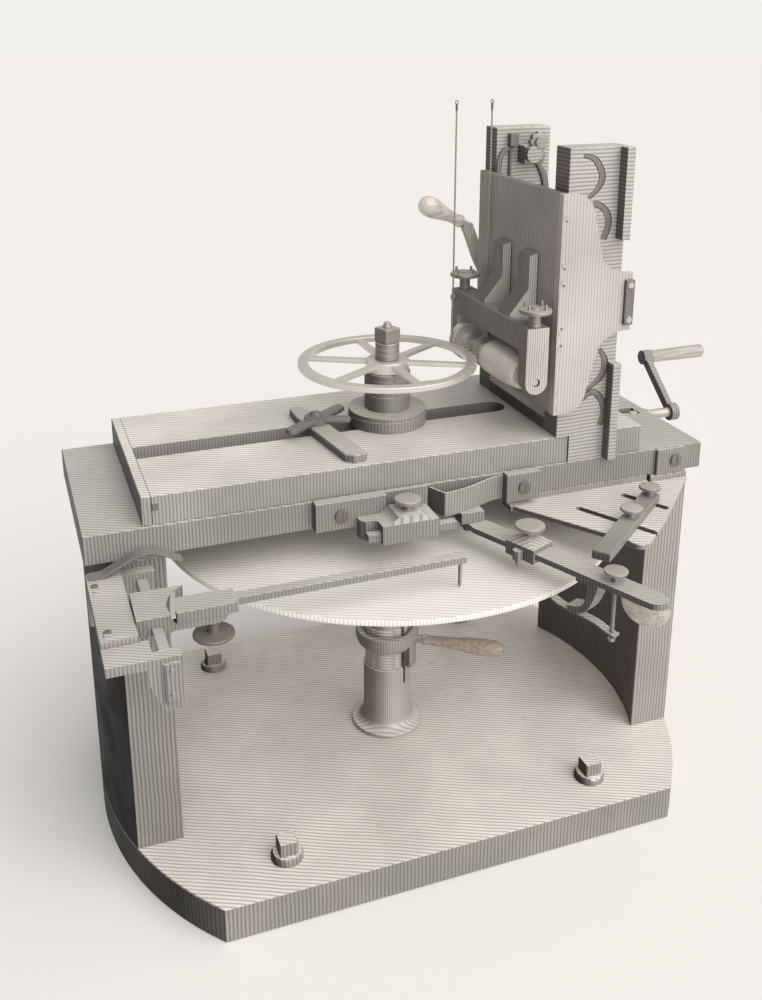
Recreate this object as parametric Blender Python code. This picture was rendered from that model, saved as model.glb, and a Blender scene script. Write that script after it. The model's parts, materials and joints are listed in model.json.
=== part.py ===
"""Wheel-cutting engine: a bench machine with a dividing plate, which cuts the teeth of clock wheels.

Metres, +Z up. The origin is on the spindle's axis at the underside of the base. +X points along the bed,
from the index end to the crank end, and +Y points away from the front.
"""

from math import acos, asin, atan2, cos, degrees, hypot, pi, radians, sin, tan

import bmesh
import bpy
from mathutils import Matrix, Vector

# ---- Clearances -------------------------------------------------------------------------------------------
GAP = 0.0003  # between pieces that touch
RUNNING = 0.0005  # round a shaft or a sliding block
SINK = 0.002  # overlap of two shapes that are joined into one piece
FINENESS = 0.50  # share of the steps that a turned shape asks for

# ---- Base and legs ----------------------------------------------------------------------------------------
BASE_THICKNESS = 0.050
BASE_RADIUS = 0.428  # of the two curved ends, round the spindle
BASE_DEPTH = 0.576  # between the straight front and rear edges
LEG_HEIGHT = 0.4124
LEG_THICKNESS = 0.056
BED_DEPTH = 0.288
LEG_DEPTH = BED_DEPTH + 0.012
BOLT_X, BOLT_Y = 0.222, 0.228
BOLT_COLLAR_RADIUS, BOLT_COLLAR_HEIGHT = 0.0215, 0.010
BOLT_HEAD_SIDE, BOLT_HEAD_HEIGHT = 0.024, 0.018

# ---- Bed and sliding plate --------------------------------------------------------------------------------
BED_THICKNESS = 0.038
BED_LEFT, BED_RIGHT = -0.436, 0.427
SCREW_DEPTH = 0.010  # of the lead screw's axis under the bed's top
SCREW_RADIUS = 0.0075
CHANNEL_WIDTH, CHANNEL_DEPTH = 0.026, 0.022
CHANNEL_LEFT = 0.110
CHANNEL_END_WALL = 0.016
SLIDE_THICKNESS = 0.0377
SLIDE_LEFT, SLIDE_RIGHT = -0.365, 0.326
SLIDE_DEPTH = BED_DEPTH - 0.006
BATTEN_WIDTH = 0.012
SPINDLE_RADIUS = 0.018
SLOT_WIDTH = 2 * SPINDLE_RADIUS + 0.005
SLOT_LEFT = SLIDE_LEFT + BATTEN_WIDTH - SLOT_WIDTH  # open at the batten
SLOT_RIGHT = 0.182

# ---- Spindle ----------------------------------------------------------------------------------------------
SPINDLE_TOP_RADIUS = 0.012
STUD_RADIUS = 0.006
PILLAR_RADIUS = 0.035
PILLAR_HEIGHT = 0.103
PILLAR_TOP_HEIGHT = 0.016  # of the plain collar over the thread
PILLAR_FOOT_RADIUS = 0.054
THREAD_RADIUS = 0.0325
THREAD_HEIGHT = 0.073
THREAD_TURNS = 9
SLIT_TURN = -62.0  # of the slit in the pillar's top, in degrees
SLIT_WIDTH = 0.005
RING_RADIUS, RING_HEIGHT = 0.047, 0.028
RING_RISE = 0.030  # of the ring nut above the pillar's shoulder
HANDLE_LENGTH, HANDLE_RADIUS = 0.118, 0.0125
HANDLE_TURN = -34.0  # of the ring nut's handle, in degrees
PLATE_RADIUS = 0.3255
PLATE_THICKNESS = 0.0077
PLATE_DROP = 0.049  # of the dividing plate's top under the bed
HUB_RADIUS, HUB_HEIGHT = 0.055, 0.016
PLATE_BOSS_RADIUS, PLATE_BOSS_HEIGHT = 0.034, 0.014
FLANGE_RADIUS, FLANGE_HEIGHT = 0.0548, 0.0217
SLEEVE_RADIUS, SLEEVE_HEIGHT = 0.032, 0.053
WHEEL_RADIUS, WHEEL_THICKNESS = 0.124, 0.0076
WHEEL_RIM = 0.014
WHEEL_HUB_RADIUS, WHEEL_HUB_HEIGHT = 0.030, 0.016
WHEEL_HUB_BELOW = 0.0072
SPOKES, SPOKE_WIDTH = 6, 0.0105
SPOKE_TURN = 8.0
WHEEL_TEETH, TEETH_CUT = 64, 11
TOOTH_SPACE, TOOTH_DEPTH = 0.0046, 0.0085
WASHER_RADIUS, WASHER_HEIGHT = 0.0167, 0.024
NUT_SIDE, NUT_HEIGHT = 0.026, 0.020
STUD_ABOVE = 0.008

# ---- Slot clamp -------------------------------------------------------------------------------------------
CLAMP_X, CLAMP_Y = -0.106, -0.004
CLAMP_TURN = 8.0  # degrees that the bar lies off square to the bed
CLAMP_FRONT, CLAMP_BACK = 0.128, 0.074
CLAMP_WIDTH, CLAMP_THICKNESS = 0.030, 0.011
CLAMP_STUD_RADIUS = 0.008
WING_LENGTH, WING_WIDTH, WING_THICKNESS = 0.052, 0.017, 0.010

# ---- Tower and cutter slide -------------------------------------------------------------------------------
CUTTER_RADIUS, CUTTER_THICKNESS = 0.021, 0.003
CUTTER_CLEARANCE = 0.002
CUTTER_RISE = 0.089  # of the cutter's axis above the sliding plate
CUTTER_TO_SLIDE = 0.030  # from the cutter's axis to the front of the cutter slide
TOWER_NEAR, TOWER_FAR = -BED_DEPTH / 2, 0.099
CHEEK_THICKNESS = 0.035
CHEEK_DEPTH = 0.0857
TOWER_HEIGHT = 0.394
TOWER_TOP_STEP = 0.006
STRIP_DEPTH, STRIP_STAND = 0.013, 0.0155
SILL_HEIGHT, SILL_THICKNESS, SILL_FOOT = 0.060, 0.020, 0.018
FACE_THICKNESS = 0.012
FACE_HALF_HEIGHT = 0.147
FACE_RISE = 0.185  # of the cutter slide's middle above the sliding plate
FACE_FAR = 0.090
WEB_THICKNESS = 0.010
WEB_FLAT = 0.017  # width of the web's straight part at its top and bottom
WEB_ARM_HALF_HEIGHT = 0.039
HEAD_TRAVEL = 0.036
KEEPER_THICKNESS = 0.011
CLIP_WIDTH, CLIP_THICKNESS, CLIP_HALF_HEIGHT = 0.013, 0.005, 0.030
RACK_Y, RACK_WIDTH = 0.030, 0.020
RACK_BACK = 0.0085
PINION_TEETH, TOOTH_MODULE = 22, 0.0032
PINION_RISE = 0.121  # of the lifting shaft above the sliding plate
LIFT_SHAFT_RADIUS = 0.007
LEVER_Y, LEVER_THICKNESS = 0.118, 0.011
LEVER_GRIP_LENGTH, LEVER_GRIP_RADIUS = 0.072, 0.0153

# ---- Cutter frame -----------------------------------------------------------------------------------------
FRAME_HALF = 0.016
FRAME_NEAR, FRAME_FAR = -0.160, 0.080
FRAME_ARM = 0.022
BEAM_RISE, BEAM_HEIGHT = 0.040, 0.034  # of the beam's underside above the cutter's axis
ARBOR_RADIUS = 0.005
PULLEY_Y, PULLEY_WIDTH = 0.050, 0.014
PULLEY_RADIUS, GROOVE_DEPTH = 0.0290, 0.0035
BELL_RADIUS, BELL_NEAR, BELL_FAR = 0.024, -0.126, -0.022
KNEE_WIDTH = 0.033
KNEE_FAR_Y, KNEE_NEAR_Y = -0.002, -0.080
CAPSTAN_RADIUS, CAPSTAN_HEIGHT = 0.0215, 0.006
CAPSTAN_SHANK_RADIUS, CAPSTAN_STAND = 0.0085, 0.018
BAND_RADIUS = 0.0012
BAND_TOP = 0.968

# ---- Crank ------------------------------------------------------------------------------------------------
CRANK_X = 0.470
CRANK_LENGTH, CRANK_ANGLE = 0.103, 40.0
CRANK_THICKNESS = 0.010
CRANK_GRIP_LENGTH, CRANK_GRIP_RADIUS = 0.098, 0.0105

# ---- Index bracket at the left ----------------------------------------------------------------------------
BRACKET_FRONT = -0.343
RAIL_WIDTH, RAIL_THICKNESS = 0.040, 0.016
RAIL_DROP = 0.008  # of the bracket's top under the bed
SHELF_DEPTH, SHELF_THICKNESS, SHELF_DROP = 0.040, 0.011, 0.008
WEB_LEFT, WEB_RIGHT = -0.395, -0.357
WEB_HEIGHT = 0.066
GUIDE_BAR_X, GUIDE_BAR_SIDE = -0.373, 0.012
YOKE_BACK, YOKE_FRONT = -0.218, -0.281
YOKE_LEFT = -0.3945
YOKE_THICKNESS, TONGUE_THICKNESS = 0.022, 0.008
CARRIER_X, CARRIER_Y = -0.308, -0.262
CARRIER_RADIUS = 0.046
CARRIER_RIGHT = -0.281
ARM_WIDTH, ARM_THICKNESS, ARM_TIP = 0.015, 0.010, 0.003
PIN_RADIUS = 0.0022
THUMB_RADIUS = 0.024

# ---- Front guide and stop block ---------------------------------------------------------------------------
GUIDE_LEFT, GUIDE_STEP, GUIDE_RIGHT = -0.155, -0.060, -0.001
GUIDE_THICK, GUIDE_THIN = 0.0155, 0.008
BLOCK_LEFT, BLOCK_RIGHT = -0.080, -0.004
BLOCK_FRONT = -BED_DEPTH / 2 - 0.056
BLOCK_BAR_SIDE = 0.011
KNOB_RADIUS = 0.0175
SPRING_PLATE_LEFT, SPRING_PLATE_RIGHT = 0.110, 0.160
LEAF_THICKNESS = 0.002
END_PLATE_LEFT, END_PLATE_RIGHT = 0.350, 0.396

# ---- Second index arm and its bracket at the right --------------------------------------------------------
PIVOT_X, PIVOT_Y = 0.055, -BED_DEPTH / 2 - 0.018
ARM_B_ANGLE = -66.0
ARM_B_LENGTH, ARM_B_WIDTH, ARM_B_THICKNESS = 0.292, 0.030, 0.0075
ARM_B_DROP = 0.013  # of the arm's top under the bed
RUNNER_FROM, RUNNER_TO = 0.078, 0.122
PIN_RISE = 0.014  # of the runner's lifted pin above the dividing plate
CLAW_FROM, CLAW_TO = 0.180, 0.212
DRAW_ROD = 0.228
SIDE_PLATE_THICKNESS, SIDE_PLATE_DROP = 0.007, 0.008
BAR_G_LENGTH, BAR_G_WIDTH, BAR_G_THICKNESS = 0.2015, 0.0236, 0.0115
BAR_G_X, BAR_G_Y, BAR_G_ANGLE = 0.230, -0.2657, 39.3
SLOT_ANGLE = -60.4
BAR_KNOB_RADIUS = 0.0145

# ---- Levels worked out from the sizes above ---------------------------------------------------------------
BED_UNDERSIDE = BASE_THICKNESS + GAP + LEG_HEIGHT + GAP
BED_TOP = BED_UNDERSIDE + BED_THICKNESS
SLIDE_UNDERSIDE = BED_TOP + GAP
SLIDE_TOP = SLIDE_UNDERSIDE + SLIDE_THICKNESS
SCREW_Z = BED_TOP - SCREW_DEPTH
FRONT = -BED_DEPTH / 2
LEG_FRONT = -LEG_DEPTH / 2
PLATE_TOP = BED_UNDERSIDE - PLATE_DROP
FLANGE_TOP = SLIDE_TOP + GAP + FLANGE_HEIGHT
SLEEVE_TOP = FLANGE_TOP + GAP + SLEEVE_HEIGHT
HUB_TOP = SLEEVE_TOP + GAP + WHEEL_HUB_HEIGHT
WASHER_TOP = HUB_TOP + GAP + WASHER_HEIGHT
CUTTER_X = WHEEL_RADIUS + CUTTER_CLEARANCE + CUTTER_RADIUS
CUTTER_Z = SLIDE_TOP + CUTTER_RISE
FACE_FRONT = CUTTER_X + CUTTER_TO_SLIDE
TOWER_FRONT = FACE_FRONT + FACE_THICKNESS + GAP
TOWER_BACK = TOWER_FRONT + CHEEK_DEPTH
TOWER_TOP = SLIDE_TOP + TOWER_HEIGHT
FACE_Z = SLIDE_TOP + FACE_RISE
BEAM_BOTTOM = CUTTER_Z + BEAM_RISE
BEAM_TOP = BEAM_BOTTOM + BEAM_HEIGHT
PITCH_RADIUS = PINION_TEETH * TOOTH_MODULE / 2
RACK_PITCH_X = TOWER_FRONT + RACK_BACK + 1.1 * TOOTH_MODULE
LIFT_X = RACK_PITCH_X + PITCH_RADIUS + 0.0002
LIFT_Z = SLIDE_TOP + PINION_RISE
ARM_B_TOP = BED_UNDERSIDE - ARM_B_DROP
SIDE_PLATE_TOP = BED_UNDERSIDE - SIDE_PLATE_DROP
BRACKET_TOP = BED_UNDERSIDE - RAIL_DROP

# ---- Materials: colour, metallic, roughness ---------------------------------------------------------------
FINISHES = {
    "cast_iron": ((0.42, 0.39, 0.36), 0.65, 0.55),
    "planed_iron": ((0.55, 0.52, 0.48), 0.75, 0.42),
    "steel": ((0.60, 0.58, 0.55), 0.95, 0.30),
    "dark_steel": ((0.27, 0.25, 0.24), 0.85, 0.42),
    "brass": ((0.72, 0.58, 0.34), 0.95, 0.32),
    "turned_wood": ((0.30, 0.17, 0.09), 0.0, 0.50),
    "gut": ((0.45, 0.36, 0.25), 0.0, 0.60),
}


def clear_scene():
    for obj in list(bpy.data.objects):
        bpy.data.objects.remove(obj, do_unlink=True)


def finish_of(name):
    """The material of this name, made the first time it is asked for."""
    material = bpy.data.materials.get(name)
    if material:
        return material
    colour, metallic, roughness = FINISHES[name]
    material = bpy.data.materials.new(name)
    material.use_nodes = True
    shader = material.node_tree.nodes["Principled BSDF"]
    shader.inputs["Base Color"].default_value = (*colour, 1)
    shader.inputs["Metallic"].default_value = metallic
    shader.inputs["Roughness"].default_value = roughness
    return material


# ---- Shapes -----------------------------------------------------------------------------------------------
def arc(centre, radius, start, end, steps):
    """Points on a circle from start to end degrees, both included."""
    turns = [radians(start + (end - start) * i / steps) for i in range(steps + 1)]
    return [(centre[0] + radius * cos(t), centre[1] + radius * sin(t)) for t in turns]


def circle(centre, radius, steps):
    return arc(centre, radius, 0, 360, steps)[:-1]


def turned_by(points, angle, about=(0, 0)):
    """The points turned by an angle in degrees."""
    c, s = cos(radians(angle)), sin(radians(angle))
    moved = [(x - about[0], y - about[1]) for x, y in points]
    return [(about[0] + x * c - y * s, about[1] + x * s + y * c) for x, y in moved]


def stadium(start, end, width, steps=8):
    """A strip of this width with round ends, whose round ends have their centres at start and end."""
    angle = degrees(atan2(end[1] - start[1], end[0] - start[0]))
    near = arc(start, width / 2, angle + 90, angle + 270, steps)
    return near + arc(end, width / 2, angle - 90, angle + 90, steps)


def into_object(name, bm):
    bmesh.ops.recalc_face_normals(bm, faces=bm.faces)
    mesh = bpy.data.meshes.new(name)
    bm.to_mesh(mesh)
    bm.free()
    obj = bpy.data.objects.new(name, mesh)
    bpy.context.scene.collection.objects.link(obj)
    return obj


def slab(name, outline, low, high, normal="Z"):
    """An outline pushed from low to high along Z, Y or X. Its points are (x, y), (x, z) or (y, z)."""
    place = {
        "Z": lambda a, b, h: (a, b, h),
        "Y": lambda a, b, h: (a, h, b),
        "X": lambda a, b, h: (h, a, b),
    }[normal]
    bm = bmesh.new()
    face = bm.faces.new([bm.verts.new(place(a, b, low)) for a, b in outline])
    moved = bmesh.ops.extrude_face_region(bm, geom=[face])["geom"]
    corners = [v for v in moved if isinstance(v, bmesh.types.BMVert)]
    bmesh.ops.translate(bm, verts=corners, vec=Vector(place(0, 0, high - low)))
    return into_object(name, bm)


def box(name, x, y, z):
    """A block between the two values of each axis."""
    outline = [(x[0], y[0]), (x[1], y[0]), (x[1], y[1]), (x[0], y[1])]
    return slab(name, outline, z[0], z[1])


def turned(name, profile, centre=(0, 0, 0), axis="Z", steps=40):
    """A shape of revolution. The profile's points are (radius, distance along the axis)."""
    steps = max(12, round(steps * FINENESS))
    bm = bmesh.new()
    verts = [bm.verts.new((radius, 0, along)) for radius, along in profile]
    pairs = list(zip(verts, verts[1:]))
    if profile[0][0] > 0:
        pairs.append((verts[-1], verts[0]))
    edges = [bm.edges.new(pair) for pair in pairs]
    bmesh.ops.spin(
        bm, geom=verts + edges, cent=(0, 0, 0), axis=(0, 0, 1), angle=2 * pi, steps=steps, use_merge=True
    )
    bmesh.ops.remove_doubles(bm, verts=bm.verts, dist=1e-6)
    turn = {"Z": Matrix(), "Y": Matrix.Rotation(-pi / 2, 4, "X"), "X": Matrix.Rotation(pi / 2, 4, "Y")}[
        axis
    ]
    bmesh.ops.transform(bm, matrix=Matrix.Translation(centre) @ turn, verts=bm.verts)
    return into_object(name, bm)


def rod(name, radius, start, end, centre=(0, 0, 0), axis="Z", steps=32):
    """A plain cylinder along an axis."""
    return turned(name, [(0, start), (radius, start), (radius, end), (0, end)], centre, axis, steps)


def solidify_strip(name, path, thickness, low, high, normal="Z"):
    """A thin strip that follows a path of points, pushed from low to high along an axis."""
    left, right = [], []
    for i, (x, y) in enumerate(path):
        before, after = path[max(i - 1, 0)], path[min(i + 1, len(path) - 1)]
        dx, dy = after[0] - before[0], after[1] - before[1]
        length = hypot(dx, dy)
        side = (-dy / length * thickness / 2, dx / length * thickness / 2)
        left.append((x + side[0], y + side[1]))
        right.append((x - side[0], y - side[1]))
    return slab(name, left + right[::-1], low, high, normal)


def smooth_path(points, steps):
    """A Catmull-Rom curve through the points, with this many steps between each two."""
    ends = [points[0], *points, points[-1]]
    path = []
    for i in range(1, len(ends) - 2):
        for k in range(steps):
            t = k / steps
            row = []
            for p0, p1, p2, p3 in zip(ends[i - 1], ends[i], ends[i + 1], ends[i + 2]):
                a, b = 2 * p0 - 5 * p1 + 4 * p2 - p3, -p0 + 3 * p1 - 3 * p2 + p3
                row.append(p1 + 0.5 * t * (p2 - p0 + t * (a + t * b)))
            path.append(tuple(row))
    return path + [tuple(points[-1])]


def use_tool(obj, tool, operation):
    tool.hide_render = True
    tool.display_type = "WIRE"
    modifier = obj.modifiers.new(f"{operation.lower()}_{tool.name}", "BOOLEAN")
    modifier.object = tool
    modifier.operation = operation
    modifier.solver = "EXACT"


def cut(obj, *tools):
    for tool in tools:
        use_tool(obj, tool, "DIFFERENCE")
    return obj


def join(obj, *pieces):
    for piece in pieces:
        use_tool(obj, piece, "UNION")
    return obj


def round_edges(obj, width, segments=1):
    """A small bevel on the sharp edges, made before any later Boolean."""
    modifier = obj.modifiers.new("round_edges", "BEVEL")
    modifier.width = width
    modifier.segments = segments
    modifier.limit_method = "ANGLE"
    modifier.angle_limit = radians(40)
    return obj


def made_of(obj, finish):
    obj.data.materials.append(finish_of(finish))
    return obj


def on_axis(name, place, pieces, parent=None):
    """Puts the pieces' origins on an empty at a joint's axis and parents them to it."""
    place = Vector(place)
    empty = bpy.data.objects.new(name, None)
    empty.empty_display_size = 0.03
    bpy.context.scene.collection.objects.link(empty)
    empty["place"] = list(place)
    if parent:
        empty.parent = parent
        place_of_parent = Vector(parent["place"])
        empty.location = place - place_of_parent
    else:
        empty.location = place
    for piece in pieces:
        piece.data.transform(Matrix.Translation(-place))
        piece.parent = empty
    return empty


def slotted_screw(name, radius, height, centre, axis, sign=-1, slot_angle=90):
    """A cheese-head screw with a slot. It stands out from centre along the axis, towards sign."""
    chamfer = radius * 0.12
    profile = [
        (0, 0),
        (radius, 0),
        (radius, sign * (height - chamfer)),
        (radius - chamfer, sign * height),
        (0, sign * height),
    ]
    head = turned(name, profile, centre, axis, 24)
    reach, half, deep = radius * 1.2, radius * 0.09, height * 0.5
    outline = turned_by([(-reach, -half), (reach, -half), (reach, half), (-reach, half)], slot_angle)
    at = {"Z": (0, 1, 2), "Y": (0, 2, 1), "X": (1, 2, 0)}[axis]
    outline = [(centre[at[0]] + a, centre[at[1]] + b) for a, b in outline]
    top = centre[at[2]] + sign * height
    low, high = sorted((top - sign * deep, top + sign * 0.002))
    return cut(head, slab(f"cutter_{name}", outline, low, high, axis))


def knob_profile(radius, height, base):
    """A round thumb knob's profile, with a hollow under its rim and a slightly domed top."""
    return [
        (0, base),
        (radius * 0.42, base),
        (radius * 0.46, base + height * 0.22),
        (radius * 0.90, base + height * 0.40),
        (radius, base + height * 0.55),
        (radius, base + height * 0.80),
        (radius * 0.90, base + height),
        (0, base + height * 1.04),
    ]


# ---- Base, legs and bed -----------------------------------------------------------------------------------
def make_base():
    half = BASE_DEPTH / 2
    reach = degrees(asin(half / BASE_RADIUS))
    outline = arc((0, 0), BASE_RADIUS, -reach, reach, 28) + arc(
        (0, 0), BASE_RADIUS, 180 - reach, 180 + reach, 28
    )
    base = made_of(slab("base_plate", outline, 0, BASE_THICKNESS), "cast_iron")
    round_edges(base, 0.0012)
    for i, (x, y) in enumerate(bolt_places()):
        join(base, *holding_bolt(i, x, y))
    return base


def bolt_places():
    return [(-BOLT_X, -BOLT_Y), (BOLT_X, -BOLT_Y), (-BOLT_X, BOLT_Y), (BOLT_X, BOLT_Y)]


def holding_bolt(i, x, y):
    """A holding-down bolt's collar and its square head."""
    foot = BASE_THICKNESS
    top = foot + BOLT_COLLAR_HEIGHT
    r = BOLT_COLLAR_RADIUS
    profile = [
        (0, foot - SINK),
        (r, foot - SINK),
        (r, foot + BOLT_COLLAR_HEIGHT * 0.55),
        (r * 0.86, top),
        (0, top),
    ]
    collar = turned(f"bolt_collar_{i}", profile, (x, y, 0), "Z", 28)
    half = BOLT_HEAD_SIDE / 2
    head = box(
        f"bolt_head_{i}", (x - half, x + half), (y - half, y + half), (top - SINK, top + BOLT_HEAD_HEIGHT)
    )
    return collar, round_edges(head, 0.0012)


def make_legs():
    """Two curved plates that stand on the base's ends and carry the bed."""
    legs = []
    inner = BASE_RADIUS - LEG_THICKNESS
    half = LEG_DEPTH / 2
    outer_reach, inner_reach = degrees(asin(half / BASE_RADIUS)), degrees(asin(half / inner))
    for name, turn in (("leg_right", 0), ("leg_left", 180)):
        outline = arc((0, 0), BASE_RADIUS, turn - outer_reach, turn + outer_reach, 18)
        outline += arc((0, 0), inner, turn + inner_reach, turn - inner_reach, 18)
        leg = slab(name, outline, BASE_THICKNESS + GAP, BED_UNDERSIDE - GAP)
        legs.append(made_of(round_edges(leg, 0.001), "cast_iron"))
    return legs


def make_bed():
    half = BED_DEPTH / 2
    bed = box("bed", (BED_LEFT, BED_RIGHT), (-half, half), (BED_UNDERSIDE, BED_TOP))
    round_edges(bed, 0.001)
    groove = CHANNEL_WIDTH / 2
    wall = BED_RIGHT - CHANNEL_END_WALL
    channel = box(
        "cutter_channel", (CHANNEL_LEFT, wall), (-groove, groove), (BED_TOP - CHANNEL_DEPTH, BED_TOP + 0.01)
    )
    tail = rod(
        "cutter_screw_hole", SCREW_RADIUS + RUNNING, wall - 0.01, BED_RIGHT + 0.01, (0, 0, SCREW_Z), "X", 24
    )
    bore = rod("cutter_bearing", SPINDLE_RADIUS + RUNNING, BED_UNDERSIDE - 0.01, BED_TOP + 0.01, steps=40)
    boss = rod(
        "bearing_boss", SPINDLE_RADIUS + 0.012, BED_UNDERSIDE - 0.004, BED_UNDERSIDE + SINK, steps=40
    )
    join(bed, boss, *arm_pivot())
    stud = rod(
        "cutter_stud_hole",
        CLAMP_STUD_RADIUS + RUNNING,
        BED_TOP - 0.024,
        BED_TOP + 0.01,
        (CLAMP_X, CLAMP_Y, 0),
        steps=20,
    )
    return made_of(cut(bed, channel, tail, bore, stud), "planed_iron")


# ---- Sliding plate ----------------------------------------------------------------------------------------
def make_sliding_plate():
    """The plate that slides along the bed, notched where the near cheek comes down to the bed."""
    half = SLIDE_DEPTH / 2
    plate = box(
        "sliding_plate",
        (SLIDE_LEFT + BATTEN_WIDTH + GAP, SLIDE_RIGHT),
        (-half, half),
        (SLIDE_UNDERSIDE, SLIDE_TOP),
    )
    round_edges(plate, 0.0008)
    r = SLOT_WIDTH / 2
    outline = stadium((SLOT_LEFT + r, 0), (SLOT_RIGHT - r, 0), SLOT_WIDTH, 12)
    slot = slab("cutter_slot", outline, SLIDE_UNDERSIDE - 0.01, SLIDE_TOP + 0.01)
    notch = box(
        "cutter_notch",
        (TOWER_FRONT + 0.020, TOWER_BACK + 2 * GAP),
        (-half - 0.01, TOWER_NEAR + CHEEK_THICKNESS + GAP),
        (SLIDE_UNDERSIDE - 0.01, SLIDE_TOP + 0.01),
    )
    join(plate, lead_nut())
    return made_of(cut(plate, slot, notch, nut_bore()), "planed_iron")


def make_batten():
    half = SLIDE_DEPTH / 2
    batten = box(
        "end_batten", (SLIDE_LEFT, SLIDE_LEFT + BATTEN_WIDTH), (-half, half), (SLIDE_UNDERSIDE, SLIDE_TOP)
    )
    return made_of(round_edges(batten, 0.0008), "planed_iron")


def lead_nut():
    """The lead screw's nut, which hangs under the sliding plate in the bed's channel."""
    half = CHANNEL_WIDTH / 2 - RUNNING
    x = (TOWER_FRONT + 0.012, TOWER_FRONT + 0.052)
    return box("lead_nut", x, (-half, half), (BED_TOP - CHANNEL_DEPTH + RUNNING, SLIDE_UNDERSIDE + SINK))


def nut_bore():
    left, right = TOWER_FRONT, TOWER_FRONT + 0.064
    return rod("cutter_lead_nut", SCREW_RADIUS + RUNNING, left, right, (0, 0, SCREW_Z), "X", 24)


def make_lead_screw():
    """The screw lies in the bed's channel and its plain end comes out through the bed's right end."""
    r, collar = SCREW_RADIUS, SCREW_RADIUS + 0.0022
    wall = BED_RIGHT - CHANNEL_END_WALL
    profile = [(0, CHANNEL_LEFT + 0.004), (r * 0.9, CHANNEL_LEFT + 0.004), (r, CHANNEL_LEFT + 0.005)]
    profile += [(r, wall - 0.012), (collar, wall - 0.012), (collar, wall - GAP), (r, wall - GAP)]
    profile += [
        (r, BED_RIGHT + GAP),
        (collar, BED_RIGHT + GAP),
        (collar, BED_RIGHT + 0.005),
        (r, BED_RIGHT + 0.005),
    ]
    profile += [(r, CRANK_X - GAP), (r * 0.7, CRANK_X - GAP), (r * 0.7, CRANK_X + CRANK_THICKNESS + 0.004)]
    profile += [(0, CRANK_X + CRANK_THICKNESS + 0.004)]
    return made_of(turned("lead_screw", profile, (0, 0, SCREW_Z), "X", 24), "steel")


def make_crank():
    """The crank's arm, its turned grip and the pin that the grip turns on."""
    y, z = CRANK_LENGTH * sin(radians(90 - CRANK_ANGLE)), CRANK_LENGTH * cos(radians(90 - CRANK_ANGLE))
    top = (y, SCREW_Z + z)
    foot = (0, SCREW_Z)
    arm = slab("crank_arm", stadium(foot, top, 0.014, 8), CRANK_X, CRANK_X + CRANK_THICKNESS, "X")
    round_edges(arm, 0.001)
    hub = rod(
        "hub_crank", 0.0135, CRANK_X + 0.0001, CRANK_X + CRANK_THICKNESS + 0.003, (0, 0, SCREW_Z), "X", 28
    )
    boss = rod("boss_crank", 0.0115, CRANK_X - 0.002, CRANK_X + CRANK_THICKNESS + 0.003, (0, *top), "X", 28)
    start = CRANK_X + CRANK_THICKNESS
    pin = rod("pin_crank", 0.0035, start, start + CRANK_GRIP_LENGTH - 0.004, (0, *top), "X", 16)
    bore = rod(
        "cutter_crank_bore",
        SCREW_RADIUS * 0.7 + GAP,
        CRANK_X - 0.01,
        CRANK_X + 0.03,
        (0, 0, SCREW_Z),
        "X",
        20,
    )
    cut(join(arm, hub, boss, pin), bore)
    face = start + 0.003 + GAP
    r, end = CRANK_GRIP_RADIUS, face + CRANK_GRIP_LENGTH
    inner = 0.0035 + RUNNING
    bottom = end - 0.004
    profile = [
        (inner, face),
        (r * 0.86, face),
        (r, face + 0.004),
        (r * 0.94, face + 0.012),
        (r * 0.94, end - 0.010),
    ]
    profile += [(r, end - 0.004), (r * 0.8, end), (0, end), (0, bottom), (inner, bottom)]
    grip = turned_cup("crank_grip", profile, (0, *top), "X", 28)
    made_of(arm, "dark_steel")
    made_of(grip, "turned_wood")
    return arm, grip, top


def turned_cup(name, profile, centre, axis, steps):
    """A shape of revolution with a blind bore, so its profile touches the axis in the middle only."""
    solid = turned(name, [(0, profile[0][1]), *profile[1:-2]], centre, axis, steps)
    inner, bottom = profile[-1]
    sign = 1 if bottom > profile[0][1] else -1
    bore = rod(f"cutter_{name}", inner, *sorted((profile[0][1] - sign * 0.01, bottom)), centre, axis, 16)
    return cut(solid, bore)


# ---- Spindle, dividing plate and pillar -------------------------------------------------------------------
def make_pillar():
    """The footstep pillar: a flared foot, a plain column and a thread that the ring nut climbs."""
    foot, bore = BASE_THICKNESS + GAP, SPINDLE_RADIUS + 0.002 + RUNNING
    shoulder = foot + PILLAR_HEIGHT
    profile = [(0, foot), (PILLAR_FOOT_RADIUS, foot), (PILLAR_FOOT_RADIUS, foot + 0.004)]
    profile += arc((PILLAR_FOOT_RADIUS, foot + 0.023), 0.019, 270, 180, 4)[1:]
    profile += [(PILLAR_RADIUS, foot + 0.024), (PILLAR_RADIUS, shoulder), (THREAD_RADIUS, shoulder)]
    pitch = THREAD_HEIGHT / THREAD_TURNS
    for i in range(THREAD_TURNS):
        z = shoulder + i * pitch
        profile += [(THREAD_RADIUS - 0.0018, z + pitch * 0.5), (THREAD_RADIUS, z + pitch * 0.95)]
    top = shoulder + THREAD_HEIGHT
    collar = top + PILLAR_TOP_HEIGHT
    profile += [(THREAD_RADIUS - 0.002, top), (THREAD_RADIUS - 0.002, collar), (bore, collar)]
    profile += [(bore, foot + 0.020), (0, foot + 0.020)]
    pillar = turned("footstep_pillar", profile, steps=36)
    half = SLIT_WIDTH / 2
    slit = box("cutter_slit", (0, 0.06), (-half, half), (shoulder - 0.028, collar + 0.01))
    slit.data.transform(Matrix.Rotation(radians(SLIT_TURN), 4, "Z"))
    return made_of(cut(pillar, slit), "cast_iron")


def ring_levels():
    low = BASE_THICKNESS + GAP + PILLAR_HEIGHT + RING_RISE
    return low, low + RING_HEIGHT


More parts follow.
